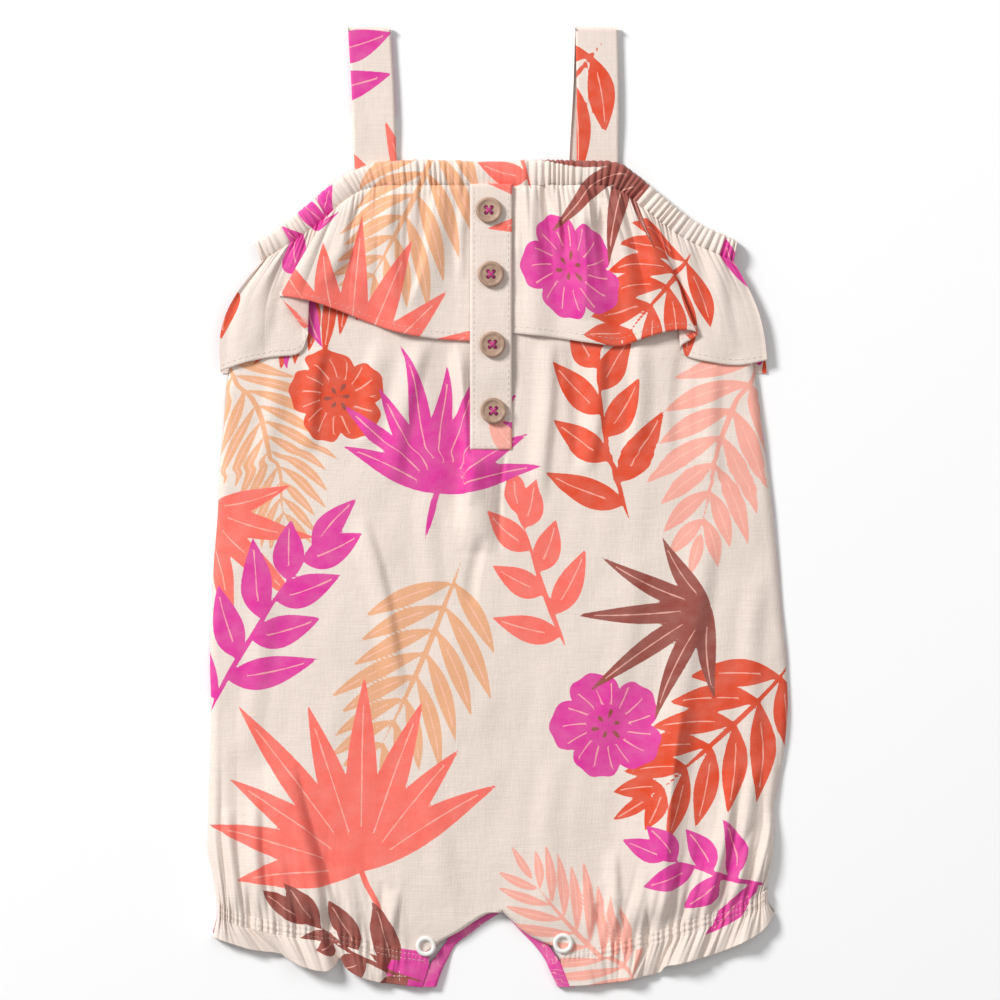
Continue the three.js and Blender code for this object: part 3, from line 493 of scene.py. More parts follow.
def blade(ink, x, y, angle, length, width, bend=0.0, belly=0.5, petals=0):
    """One leaf of the print, from its foot at x, y, or a whole flower round x, y where it has petals."""
    return {
        "ink": ink, "x": x, "y": y, "angle": angle, "length": length,
        "width": width, "bend": bend, "belly": belly, "petals": petals,
    }


def leaf_shape(item, dx, dy):
    """Distance inside a leaf and from its vein, at places measured from its foot."""
    c, s = math.cos(math.radians(item["angle"])), math.sin(math.radians(item["angle"]))
    length = item["length"]
    a = dx * c + dy * s
    share = np.clip(a / length, 0, 1)
    b = dy * c - dx * s - item["bend"] * length * share**2
    power = math.log(0.5) / math.log(item["belly"])
    half = item["width"] / 2 * np.sin(np.pi * share**power)
    beyond = np.maximum(-a, a - length)
    inside = np.where(beyond > 0, -np.hypot(beyond, b), (half - np.abs(b)) * 0.95)
    return inside, np.where((share > 0.22) & (share < 0.86), b, NO_VEIN)


def flower_shape(item, dx, dy):
    """Distance inside a flower and from its nearest vein, at places measured from its middle."""
    radius, petals = item["length"], item["petals"]
    r = np.hypot(dx, dy)
    theta = np.arctan2(dy, dx) - math.radians(item["angle"]) + 0.25 * r / radius
    lobe = np.abs(np.cos(petals * theta / 2)) ** 0.5
    scallop = 0.018 * np.sin(petals * 3 * theta + 0.8) + 0.045 * np.sin(2 * theta + 1)
    inside = radius * (0.7 + 0.27 * lobe + scallop) - r
    line = np.sin(1.5 * petals * theta) * r / (1.5 * petals)
    return inside * 0.8, np.where((r > 0.36 * radius) & (r < 0.78 * radius), line, NO_VEIN)


def stem_point(x, y, angle, length, bend, share):
    """Place and heading on a bent stem."""
    a, b = share * length, bend * length * share**2
    c, s = math.cos(math.radians(angle)), math.sin(math.radians(angle))
    heading = angle + math.degrees(math.atan(2 * bend * share))
    return x + a * c - b * s, y + a * s + b * c, heading


def leafy(ink, x, y, angle, length, bend, belly, leaves):
    """A bent stem with leaves. Each has its share of the stem, its turn, and the rest of its blade."""
    blades = [blade(ink, x, y, angle, length, 2.4, bend, belly)]
    for share, turn, *shape in leaves:
        px, py, heading = stem_point(x, y, angle, length, bend, share)
        blades.append(blade(ink, px, py, heading + turn, *shape))
    return blades


def frond(ink, x, y, angle, length, pairs=9, reach=34, bend=0.12, fill=0.7):
    """A feather palm frond, with cloth showing between its leaflets."""
    pitch = 0.76 * length / (pairs - 1)
    rows = []
    for i in range(pairs):
        share = 0.12 + 0.76 * i / (pairs - 1)
        spread = lerp(62, 36, share)
        width = 1.3 * fill * pitch * math.sin(math.radians(spread))
        leaf = reach * math.sin(math.pi * (0.26 + 0.6 * share)) ** 0.8 * (1 - 0.3 * share**3)
        for side in (-1, 1):
            size = leaf * (1 + 0.1 * math.sin(i * 2.3 + side))
            rows.append((share, side * spread, size, width, side * -0.16, 0.48))
    rows.append((0.95, 0, reach * 0.5, pitch * 0.45, 0.05, 0.4))
    return leafy(ink, x, y, angle, length, bend, 0.4, rows)


def sprig(ink, x, y, angle, length, leaves=7, reach=38, width=14, bend=0.1):
    """A stem with broad pointed leaves, side by side by turns."""
    rows = []
    for i in range(leaves):
        share = 0.1 + 0.8 * i / (leaves - 1)
        side = 1 if i % 2 else -1
        size = reach * (1 - 0.35 * share) * (1 + 0.1 * math.sin(i * 1.9))
        rows.append((share, side * lerp(64, 34, share), size, width, side * -0.14, 0.4))
    rows.append((0.98, 0, reach * 0.72, width * 0.8, 0.06, 0.42))
    return leafy(ink, x, y, angle, length, bend, 0.35, rows)


def flower(ink, x, y, radius, petals=5, turn=0):
    """A plain open flower: one round item with petals, and a dark heart of short blades."""
    blades = [blade(ink, x, y, turn, radius, 0, petals=petals)]
    for i in range(6):
        angle = turn + 30 + 60 * i
        blades.append(blade("brown", x, y, angle, radius * (0.24 + 0.08 * (i % 2)), 1.9, 0.1, 0.75))
    return blades


def fan(ink, x, y, angle, length, blades=9, spread=130, width=12):
    """A fan palm leaf: pointed blades that share one foot."""
    out = [blade(ink, *stem_point(x, y, angle, length, 0, -0.34)[:2], angle, length * 0.46, 3, 0, 0.5)]
    for i in range(blades):
        share = i / (blades - 1) - 0.5
        size = length * (1 - 0.9 * share**2) * (1 + 0.1 * math.sin(i * 2.6))
        out.append(blade(ink, x, y, angle + spread * share, size, width, 0.2 * share, 0.42))
    return out


def spray(ink, x, y, angle, length, width=9):
    """A loose spray of long leaves that bend apart."""
    rows = (
        (-58, 0.6, -0.3), (-34, 0.84, -0.2), (-12, 1.0, -0.08),
        (9, 0.92, 0.1), (31, 0.8, 0.2), (56, 0.55, 0.3),
    )
    return [blade(ink, x, y, angle + turn, length * size, width, bend, 0.4) for turn, size, bend in rows]


def print_blades():
    """Every blade of the printed tile."""
    motifs = [
        frond("salmon", -122, 76, -62, 98, pairs=7, reach=40, bend=-0.14),
        sprig("orange", -58, -6, 74, 76, leaves=7, reach=38, width=13),
        fan("magenta", 30, 6, 96, 62, blades=9, width=10),
        frond("peach", 124, 74, -116, 92, pairs=11, reach=36, fill=0.62),
        flower("orange", 74, 48, 22, turn=20),
        spray("brown", -94, -44, -18, 66),
        sprig("coral", -30, -62, 66, 62, leaves=6, reach=32, width=12),
        frond("peach", 16, -22, -72, 100, pairs=8, reach=44, bend=0.1, fill=0.66),
        sprig("magenta", 128, -92, 116, 88, leaves=8, reach=40, width=14),
        flower("magenta", -48, -96, 25, turn=10),
        frond("orange", -132, -66, -52, 92, pairs=6, reach=42, bend=0.16, fill=0.8),
        fan("coral", 60, -160, 72, 84, blades=9, spread=140, width=14),
        sprig("magenta", -134, -166, 6, 60, leaves=6, reach=32, width=12),
        frond("salmon", -66, -214, 34, 74, pairs=8, reach=36, bend=0.2, fill=0.62),
        sprig("brown", 30, -212, 20, 70, leaves=6, reach=34, width=14),
        spray("coral", 132, 0, -120, 62, width=11),
        frond("magenta", 8, 130, -158, 84, pairs=8, reach=34),
        frond("orange", 40, 132, -40, 84, pairs=8, reach=34, bend=-0.1),
        flower("coral", -108, 128, 22, turn=4),
        sprig("salmon", 112, 84, 108, 46, leaves=5, reach=26, width=11),
        frond("peach", -40, 84, 20, 60, pairs=9, reach=26, fill=0.6),
        spray("magenta", 84, 96, -30, 44, width=8),
    ]
    return [item for motif in motifs for item in motif]


BLADES = print_blades()


def print_fields(flat_x, flat_y):
    """Signed distance inside each ink, and from the nearest vein, at places on the flat cloth."""
    fields = {ink: np.full(flat_x.shape, FAR, np.float32) for ink in INKS}
    vein = np.full(flat_x.shape, NO_VEIN, np.float32)
    rank = np.full(flat_x.shape, -1, np.int8)
    deepest = np.full(flat_x.shape, FAR, np.float32)
    for item in BLADES:
        dx, dy = (
            (flat - item[axis] + size / 2) % size - size / 2
            for flat, axis, size in ((flat_x, "x", TILE[0]), (flat_y, "y", TILE[1]))
        )
        near = np.nonzero(dx * dx + dy * dy < (item["length"] + 5) ** 2)[0]
        if not len(near):
            continue
        shape = flower_shape if item["petals"] else leaf_shape
        inside, line = shape(item, dx[near], dy[near])
        field = fields[item["ink"]]
        field[near] = np.maximum(field[near], np.clip(inside, FAR, DEEP))
        order = INKS.index(item["ink"])
        top = (inside > -0.8) & ((order > rank[near]) | ((order == rank[near]) & (inside > deepest[near])))
        chosen = near[top]
        has_vein = item["petals"] or item["width"] > STEM_WIDTH
        vein[chosen] = np.clip(line[top], -NO_VEIN, NO_VEIN) if has_vein else NO_VEIN
        rank[chosen] = order
        deepest[chosen] = inside[top]
    return fields, vein


# Meshes


def grid_faces(rows, columns):
    index = np.arange(rows * columns).reshape(rows, columns)
    return np.stack([index[:-1, :-1], index[1:, :-1], index[1:, 1:], index[:-1, 1:]], -1).reshape(-1, 4)


def point_keys(points):
    """Whole numbers that are the same for points that are one."""
    return np.round(points / GRAIN).astype(np.int64)


def cloth(name, grids, material, nodes, cut="body_front", magenta_patch=None):
    """A cloth shell from grids of points. Each grid is (points, flat x, flat y), all in millimetres."""
    points, flats, faces, offset = [], [], [], 0
    for point_grid, flat_x, flat_y in grids:
        rows, columns = point_grid.shape[:2]
        points.append(point_grid.reshape(-1, 3))
        flats.append(np.stack([flat_x.ravel(), flat_y.ravel()], -1))
        faces.append(grid_faces(rows, columns) + offset)
        offset += rows * columns
    points, flats, faces = np.concatenate(points), np.concatenate(flats), np.concatenate(faces)
    _, first, inverse = np.unique(point_keys(points), axis=0, return_index=True, return_inverse=True)
    faces = inverse.reshape(-1)[faces]
    points, flats = points[first], flats[first]
    mesh = bpy.data.meshes.new(name)
    clean = [list(dict.fromkeys(face)) for face in faces.tolist()]
    mesh.from_pydata((points * MM).tolist(), [], [face for face in clean if len(face) > 2])
    uv = mesh.uv_layers.new(name="flat")
    loops = np.zeros(len(mesh.loops), np.int32)
    mesh.loops.foreach_get("vertex_index", loops)
    uv.data.foreach_set("uv", (flats[loops] / FLAT_UNIT + 0.5).astype(np.float32).ravel())
    cut_x, cut_y = CUT_AT[cut]
    fields, vein = print_fields(cut_x - flats[:, 0], flats[:, 1] + cut_y)  # the tile lies mirrored
    if magenta_patch is not None:
        fields["magenta"] = np.maximum(fields["magenta"], np.clip(magenta_patch(points), FAR, DEEP))
    for ink in INKS:
        put_attribute(mesh, f"ink_{ink}", fields[ink])
    put_attribute(mesh, "vein", vein)
    put_attribute(mesh, "by_vein", np.clip(1 - np.abs(vein) / 2, 0, 1))
    mesh.materials.append(material)
    mesh.shade_smooth()
    return piece(name, mesh, nodes)


def put_attribute(mesh, name, values):
    attribute = mesh.attributes.new(name, "FLOAT", "POINT")
    attribute.data.foreach_set("value", np.ascontiguousarray(values, np.float32))


def placed_object(name, data):
    """A new object in the scene."""
    made = bpy.data.objects.new(name, data)
    bpy.context.scene.collection.objects.link(made)
    return made


def piece(name, mesh, nodes=()):
    """An object that rides on the romper and stands for the named solids."""
    made = placed_object(name, mesh)
    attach(made, "root")
    if nodes:
        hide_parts(*nodes)
    return made


def mark_wrong_side(made, grid):
    """Marks where a ruffle lies face down, so that its paler back shows there."""
    across, downwards = np.gradient(grid, axis=1), np.gradient(grid, axis=0)
    normal_z = across[..., 0] * downwards[..., 1] - across[..., 1] * downwards[..., 0]
    flipped = np.where(normal_z > 0, 1.0, 0.0)
    flipped[-4:] = 0.0
    keys = map(tuple, point_keys(grid.reshape(-1, 3)))
    lookup = dict(zip(keys, flipped.ravel()))
    vertices = np.array([vertex.co for vertex in made.data.vertices], float) / MM
    values = [lookup.get(tuple(key), 0.0) for key in point_keys(vertices)]
    put_attribute(made.data, "wrong_side", np.array(values))


def arc(grid):
    """Distance along each row of a grid of points."""
    step = np.linalg.norm(np.diff(grid, axis=1), axis=2)
    return np.concatenate([np.zeros((len(grid), 1)), np.cumsum(step, axis=1)], axis=1)


# Body


def half_plan(side, arch_rows, u, v):
    """Plan of half a body panel: u from the side seam to the centre, v from the neck to the leg end."""
    leg, arch = LEG_LINE[side], arch_rows[side]

    def cuff(share):
        x, y = along(leg, share)
        return x, y + LEG_BAND / 2

    def outer(share):
        y = lerp(SIDES[-1, 0], cuff(np.zeros_like(share))[1], share)
        return side_edge_x(side, y), y

    def inner(share):
        down_arch = along(arch, np.clip((share - ARCH_SHARE) / (1 - ARCH_SHARE), 0, 1))
        down_body = np.clip(share / ARCH_SHARE, 0, 1)
        top_y = inner_edge_y(CENTRE_TOP_X)
        x = np.where(share > ARCH_SHARE, down_arch[0], lerp(CENTRE_TOP_X, arch[0][0], down_body))
        return x, np.where(share > ARCH_SHARE, down_arch[1], lerp(top_y, arch[0][1], down_body))

    def top(share):
        x = lerp(SIDES[-1, 1 if side == "left" else 2], CENTRE_TOP_X, share)
        return x, inner_edge_y(x)

    plan = []
    for axis in (0, 1):
        sides = lerp(outer(v)[axis], inner(v)[axis], u) + lerp(top(u)[axis], cuff(u)[axis], v)
        zero, one = np.zeros(1), np.ones(1)
        corners = [top(zero)[axis], top(one)[axis], cuff(zero)[axis], cuff(one)[axis]]
        plan.append(sides - lerp(lerp(corners[0], corners[1], u), lerp(corners[2], corners[3], u), v))
    return plan


def on_chest(y):
    """0 over the loose body, 1 from the placket's foot up."""
    return smooth_step(12, 42, y)


def beside_placket(x, y):
    """0 under the placket and 1 beside it or below it."""
    near = 1 - smooth_step(8.5, 13, np.abs(x - PLACKET_X))
    return 1 - near * smooth_step(19, 26, y)


def front_height(x, y):
    """Upper face of the body front."""
    side = 1 - np.minimum(1, np.abs(x / 124)) ** 4
    plain = lerp(3.4 + 2.0 * side, 4.3, on_chest(y))
    loose = 1 - smooth_step(62, 78, y)
    soft = 0.42 * ripple(x, y * 0.8, 44, 3) + 0.16 * ripple(x, y * 0.5, 15, 5)
    folds = fold_height(BODY_FOLDS, x, y) + fold_height(SHARP_FOLDS, x, y, "keen top")
    folds = folds + fold_height(TUCKS, x, y, "keen foot")
    return plain + (folds + soft) * beside_placket(x, y) * loose


def body_half(side, rows):
    """Points and flat places of half the body front."""
    u = steps(BODY_COLUMNS, EDGE_STEPS, BODY_HALF_WIDTH)
    if side == "right":
        u = u[::-1]
    v = np.unique(np.append(np.linspace(0, 1, rows), ARCH_SHARE))
    u, v = np.meshgrid(u, v)
    x, y = half_plan(side, ARCH_FRONT, u, v)
    away = np.maximum(y - along(LEG_LINE[side], u)[1] - LEG_BAND / 2, 0)
    z = lerp(np.maximum(front_height(x, y), 2.0), LEG_LEVEL, bell(away / 7))
    z = z + leg_gathers(side, run_at(side, x, away), away)
    z = z - (z - SEAM_LEVEL) * rolled(np.abs(x - side_edge_x(side, y)), 3.8)
    length = arc(np.stack([x, z], -1))
    inner = -1 if side == "left" else 0
    flat_x = length - length[:, [inner]] + x[:, [inner]]
    arch_x, arch_y = half_plan(side, ARCH_FRONT, np.ones_like(u), v)
    from_arch = np.where(v > ARCH_SHARE - 1e-6, np.hypot(arch_x - x, arch_y - y), np.inf)
    z = z - (z - 1.8) * rolled(from_arch, 2.2)
    return np.stack([x, y, z], -1), flat_x, y


def body_front(material):
    grids = [body_half(side, 270) for side in ("left", "right")]
    return cloth("body_front", grids, material, ["front_panel"])


def body_back(material):
    grids = []
    for side in ("left", "right"):
        u = np.linspace(0, 1, 66) if side == "left" else np.linspace(1, 0, 66)
        v = np.unique(np.append(np.linspace(0, 1, 178), ARCH_SHARE))
        u, v = np.meshgrid(u, v)
        x, y = half_plan(side, ARCH_BACK, u, v)
        lift = on_chest(y)
        z = 0.25 + 1.25 * lift + 0.12 * ripple(x, y, 30, 12) * (1 - lift)
        z = np.maximum(z, 0.05) + 0.65 * rolled(np.abs(x - side_edge_x(side, y)), 2.5)
        grids.append((np.stack([x, y, z], -1), -x, y))
    return cloth("body_back", grids, material, ["back_panel"], "body_back")


# Chest ruffle and the neck and armhole casings


def ruffle_grid(side, columns=430, rows=66):
    """Points of half the ruffle, distances along the top edge, and shares of the way to the hem."""
    share, v = np.meshgrid(np.linspace(0, 1, columns), steps(rows))
    seam_x, hem_x, hem_y, hem_z = along(RUFFLE_HEM[side], share)
    edge_share = share if side == "left" else 1 - share
    outwards = -1 if side == "left" else 1
    bulge = RUFFLE_BULGE[side] * np.sin(np.pi * v) * (1 - edge_share) ** 3
    x = lerp(seam_x, hem_x, v) + outwards * bulge
    seam_y = inner_edge_y(seam_x)
    y = lerp(seam_y, hem_y, v)
    away = v * (seam_y - hem_y)
    run = np.interp(seam_x, TOP_EDGE[:, 3], TOP_EDGE[:, 0])
    flat = beside_placket(x, y)
    folds = fold_height(RUFFLE_FOLDS, x, y) + fold_height(SHARP_RUFFLE_FOLDS, x, y, "keen top")
    folds = (folds + fold_height(RUFFLE_TUCKS, x, y, "keen foot")) * (1 - v**4)
    soft = 0.35 * ripple(x, y, 32, 9) * smooth_step(0, 0.3, v)
    z = lerp(GATHER_LEVEL, hem_z, v**0.4) + (folds + soft) * flat + top_gathers(run, away, x)
    z = z - 0.3 * bell(away / 0.8)
    above = z - RUFFLE_FLOOR
    z = RUFFLE_FLOOR + (above + np.sqrt(above**2 + 0.25)) / 2
    return np.stack([x, y, z], -1), run[0], v


def flat_along_top(distance):
    """Place across the flat ruffle and casings for a distance along the top edge."""
    runs, flats = [], []
    for side in ("left", "right"):
        grid, run, _ = ruffle_grid(side, 160, 6)
        length = arc(grid)[-1]
        runs.append(run)
        flats.append(length - length[-1] - 12 if side == "left" else length + 8)
    return np.interp(distance, np.concatenate(runs), np.concatenate(flats))


def turned_hem(grid, flat_x, flat_y, turns):
    """Rows that carry a grid's hem round to its back. Each turn is how far it drops and goes back."""
    points = np.stack([grid[-1] + np.array([0, back, -drop]) for drop, back in ((0, 0), *turns)])
    shape = points.shape[:2]
    return points, np.broadcast_to(flat_x[-1], shape), np.broadcast_to(flat_y[-1], shape)


def ruffle_half(side, material):
    grid, run, v = ruffle_grid(side)
    top = (grid, np.broadcast_to(flat_along_top(run), v.shape), -v * RUFFLE_DEPTH)
    under = turned_hem(*top, ((0.35, -0.15), (0.8, 0.1), (1.0, 0.7), (1.0, 2.4)))
    node = f"front_ruffle_{side}"
    made = cloth(f"ruffle_{side}", [top, under], material, [node], "ruffle")
    mark_wrong_side(made, grid)
    return made


def ruffle_back(material):
    share, v = np.meshgrid(np.linspace(0, 1, 90), np.linspace(0, 1, 28))
    seam_x = lerp(TOP_EDGE[0, 3], TOP_EDGE[-1, 3], share)
    hem_x = lerp(RUFFLE_HEM["left"][0, 1], RUFFLE_HEM["right"][-1, 1], share)
    swell = 3.4 * share**3 - 7 * (1 - share) ** 3
    x = lerp(seam_x, hem_x, v) + swell * np.sin(np.pi * v)
    y = lerp(inner_edge_y(seam_x), RUFFLE_BACK["hem_y"], v)
    wave = 0.3 * (0.5 + 0.5 * np.sin(share * 90)) * v
    z = 0.35 + wave + 0.4 * rolled((1 - np.abs(2 * share - 1)) * RUFFLE_BACK["half_width"], 2)
    grids = [(np.stack([x, y, z], -1), -x * 1.3, y)]
    return cloth("ruffle_back", grids, material, ["back_ruffle"], "ruffle_back")


def front_casing(name, material):
    start, end = CASINGS[name]
    across = np.array([0, 0.03, 0.07, 0.12, 0.18, 0.26, 0.35, 0.45, 0.55, 0.65, 0.75, 0.84, 0.91, 0.96, 1.0])
    distance, c = np.meshgrid(np.linspace(start, end, int((end - start) * 3.6)), across)
    x, y = top_edge(distance, c)
    pleat = top_gathers(distance, np.zeros_like(c), x)
    z = GATHER_LEVEL + np.sin(np.pi * c) + pleat * lerp(0.7, 1.0, c)
    z = z - 0.3 * bell((1 - c) * CASING_WIDTH / 0.8)
    z = z - (z - 1.5) * rolled(c * CASING_WIDTH, 2.0) * 0.9
    y = y + 0.35 * (pleat - 0.8) * (1 - c) ** 2
    grid = np.stack([x, y, z], -1)
    flat = (flat_along_top(distance), (CASING_WIDTH + 1) * (1 - c))
    return cloth(f"{name}_cloth", [(grid, *flat)], material, [name], "ruffle")


def casing_back(material):
    end = TOP_EDGE[-1, 0]
    distance, c = np.meshgrid(np.linspace(0, end, 420), np.linspace(0, 1, 9))
    x, y = top_edge(distance, c)
    y = y - 0.6 * (1 - c)
    z = 0.15 + 0.9 * puckers(distance, 3.4, 77) * np.sin(np.pi * c) + 1.2 * rolled(c * CASING_WIDTH, 1.6)
    grids = [(np.stack([x, y, z], -1), -distance * FULLNESS, y)]
    return cloth("casing_back", grids, material, ["back_casing"], "casing_back")


# Placket, straps, leg ends and inseam


def placket_height(y):
    """Upper face of the button placket, as the solid has it."""
    on_ruffle = smooth_step(PLACKET["step_to"], PLACKET["step_from"], y)
    below = lerp(4.6, 4.3, on_chest(y))
    return lerp(below, 5.9, on_ruffle) + 1.7


def placket(material):
    left, right = PLACKET["left"], PLACKET["right"]
    edge = np.array([0.0, 0.15, 0.45, 0.9])
    x_row = np.concatenate([left + edge, np.linspace(left + 1.5, right - 1.5, 15), right - edge[::-1]])
    tucked = PLACKET["top"] + np.array([1.2, 0.8, 0.5, 0.2])
    down = np.linspace(PLACKET["top"], PLACKET["bottom"] + 1.2, 130)
    y_row = np.concatenate([tucked, down, PLACKET["bottom"] + np.array([0.6, 0.2, 0.0])])
    x, y = np.meshgrid(x_row, y_row)
    from_edge = np.minimum(np.minimum(x - left, right - x), y - PLACKET["bottom"])
    pucker = 0.12 * ripple(x, y, 12, 14)
    for button_y in BUTTON_HEIGHTS:
        pucker = pucker - 0.3 * bell(np.hypot(x - PLACKET_X, y - button_y) / 7)
    groove = -0.16 * bell((from_edge - PLACKET_SEAM) / 0.45)
    under_casing = 3.2 * smooth_step(0, 1.2, y - PLACKET["top"])
    z = placket_height(y) + pucker + groove - 1.5 * rolled(from_edge, 1.0) - under_casing
    grid = np.stack([x, y, z], -1)
    return cloth("placket", [(grid, x, y)], material, ["button_placket"], "placket")


def strap_path(low_y):
    """Rows of a strap, up its back layer, over the fold and down the front: y, z and share to the front."""
    top_y = STRAP_TOP - 1.85
    under, over = STRAP_LEVELS
    path = [(y, under, 0.0) for y in np.linspace(low_y, top_y, 60)]
    for angle in np.radians(np.linspace(-80, 80, 9)):
        front = (1 + math.sin(angle)) / 2
        path.append((top_y + STRAP_FOLD * math.cos(angle), lerp(under, over, front), front))
    for share in np.linspace(0, 1, 76):
        path.append((lerp(top_y, low_y, share), over - 0.9 * smooth_step(0.6, 1, share), 1.0))
    return path


def strap(name, material):
    edges = STRAPS[name]
    low_y = outer_edge_y(np.mean(edges["low"])) - 3
    path = strap_path(low_y)
    edge_steps = np.array([0, 0.012, 0.035, 0.07, 0.12])
    across = np.concatenate([edge_steps, np.linspace(0.2, 0.8, 7), 1 - edge_steps[::-1]])
    grid = np.zeros((len(path), len(across), 3))
    flat_y = np.zeros((len(path), len(across)))
    run = 0.0
    for i, (y, z, layer) in enumerate(path):
        up = (y - low_y) / (STRAP_TOP - low_y)
        left, right = (lerp(a, b, up) for a, b in zip(edges["low"], edges["top"]))
        shift = edges["back_shift"] * (1 - layer) * (1 - up)
        edge = rolled(np.minimum(across, 1 - across) * (right - left), 0.9)
        inwards = -1.1 if layer == 1 else 1.1
        lift = 0.12 * np.sin(across * 5 + y / 11)
        grid[i, :, 0] = lerp(left, right, across) + shift + 0.15 * math.sin(y / 9)
        grid[i, :, 1] = y
        grid[i, :, 2] = z + inwards * edge * abs(2 * layer - 1) + lift * layer
        if i:
            run += math.hypot(y - path[i - 1][0], z - path[i - 1][1])
        flat_y[i] = run
    flat_x = np.broadcast_to(across * STRAP_WIDTH, flat_y.shape)
    return cloth(f"{name}_cloth", [(grid, flat_x, -flat_y)], material, [name], name)


def leg_band(side, share, c):
    """Front of the elastic band round a leg end, with two rows of stitches pressed in."""
    x, y = along(LEG_LINE[side], share)
    run = share * leg_line_length(side)
    rows = sum(bell((c - seam) / 0.08) for seam in BAND_SEAMS)
    pleat = leg_gathers(side, run, np.zeros_like(c))
    pleat = pleat + 0.45 * puckers(run, 1.9, 83) * np.sin(np.pi * np.clip(c, 0, 1))
    z = LEG_LEVEL + pleat * (1 - 0.2 * rows) - 0.2 * rows - 4 * np.maximum(-c, 0)
    z = z - (z - 0.9) * rolled(run, 2.8)
    return np.stack([x, y + (0.5 - c) * LEG_BAND, z], -1)


def leg_frill(side, share, v):
    """Front of the frill below a leg's elastic."""
    line_share, hem_x, hem_y, hem_z = along(FRILL_HEM[side], share)
    seam_x, seam_y = along(LEG_LINE[side], line_share)
    x, y = lerp(seam_x, hem_x, v), lerp(seam_y - LEG_BAND / 2, hem_y, v)
    run = line_share * leg_line_length(side)
    z = lerp(LEG_LEVEL, hem_z, v**0.8)
    z = z + leg_gathers(side, run, v * 13) * (1 - 0.45 * v)
    z = z - (z - 0.8) * rolled(run, 2.6)
    return np.stack([x, y, z], -1)


def turned_over(grid, level, seed):
    """The same grid as the side that lies on the floor, nearly flat."""
    back = grid[:, ::-1].copy()
    back[..., 2] = level + 0.5 * puckers(back[..., 0], 4.0, seed)
    back[:, :1, 2] = back[:, -1:, 2] = 0.8
    return back


def leg_end(side, material):
    """Elastic band and frill of one leg, front and back, with the body's print running on into them."""
    _, body_flat, body_y = body_half(side, 3)
    shares = steps(BODY_COLUMNS, EDGE_STEPS, BODY_HALF_WIDTH)
    inwards = 1 if side == "left" else -1

    def flat_x(at):
        return np.interp(at, shares, body_flat[-1][::inwards])

    def flat_y(at):
        return np.interp(at, shares, body_y[-1][::inwards])

    columns = steps(300, (0.2, 0.5, 1.0, 1.8), leg_line_length(side))
    band_rows = np.array([-0.1, 0, 0.06, 0.14, 0.24, 0.36, 0.5, 0.64, 0.76, 0.86, 0.94, 1.0])
    share, c = np.meshgrid(columns, band_rows)
    band = (leg_band(side, share, c), flat_x(share), flat_y(share) - c * LEG_BAND)
    share, v = np.meshgrid(columns, np.linspace(0, 1, 26))
    frill = (leg_frill(side, share, v), flat_x(share), flat_y(share) - LEG_BAND - v * FRILL_DEPTH)
    frill_back = turned_over(frill[0], 0.12, 87)
    frill_back[..., 1] += 1.6 * v
    back_start = 150  # flat place of the back's side seam
    grids = [
        band,
        frill,
        turned_hem(*frill, ((0.5, 0), (0.9, 0.4), (1.0, 1.6))),
        (turned_over(band[0], 0.15, 88), back_start - band[1], -c * LEG_BAND),
        (frill_back, back_start - frill[1], -LEG_BAND - v * FRILL_DEPTH),
    ]
    patch = left_leg_patch if side == "left" else None
    nodes = [f"leg_casing_{side}", f"leg_frill_{side}"]
    return cloth(f"leg_end_{side}", grids, material, nodes, magenta_patch=patch)


def left_leg_patch(points):
    """How far inside the magenta end of the left leg each point lies."""
    return points[:, 0] - MAGENTA_PATCH_X + 1.6 * np.sin(points[:, 1] / 3)


def inseam(material):
    rows = ARCH_OUTLINE["left"][::-1] + ARCH_OUTLINE["right"][1:]
    across = np.array([0, 0.03, 0.08, 0.16, 0.3, 0.45, 0.6, 0.75, 0.88, 1.0])
    share, c = np.meshgrid(np.linspace(0, 1, 150), across)
    x, y = along(rows, share)
    end = smooth_step(0.25, 0.5, np.abs(share - 0.5))
    width = lerp(7.5, 8.0, end)
    x = x + width * c * np.sign(share - 0.5) * end
    y = y + width * c * (1 - end)
    height = lerp(1.3, 3.3, smooth_step(0.28, 0.44, np.abs(share - 0.5)))
    z = height + 0.25 * ripple(x, y, 14, 17) - (height - 0.5) * rolled(c * width, 1.1)
    under = np.stack([x, y, np.full_like(z, 0.1)], -1)[:, ::-1]
    flat = (share * 90, c * 8)
    grids = [(np.stack([x, y, z], -1), *flat), (under, *flat)]
    return cloth("inseam_strip", grids, material, ["inseam_placket"])


# Small hard pieces and thread


def lathe(profile, segments):
    """Points and faces of a turned form. The profile runs from its middle, round and back."""
    angles = np.linspace(0, 2 * np.pi, segments, endpoint=False)
    points = [(r * math.cos(a), r * math.sin(a), z) for r, z in profile for a in angles]
    return points, ring_faces(len(profile), segments)


def ring_faces(rings, segments):
    """Faces between closed rings of points."""
    faces = []
    for i in range(0, (rings - 1) * segments, segments):
        for j in range(segments):
            k = (j + 1) % segments
            faces.append((i + j, i + k, i + segments + k, i + segments + j))
    return faces


def hard_mesh(name, parts, materials):
    """A mesh from several (points, faces, material index), all in millimetres."""
    mesh = bpy.data.meshes.new(name)
    points, faces, slots = [], [], []
    for part_points, part_faces, index in parts:
        faces += [[len(points) + i for i in face] for face in part_faces]
        slots += [index] * len(part_faces)
        points += list(part_points)
    mesh.from_pydata([(x * MM, y * MM, z * MM) for x, y, z in points], [], faces)
    for material in materials:
        mesh.materials.append(material)
    mesh.polygons.foreach_set("material_index", slots)
    mesh.shade_smooth()
    return mesh


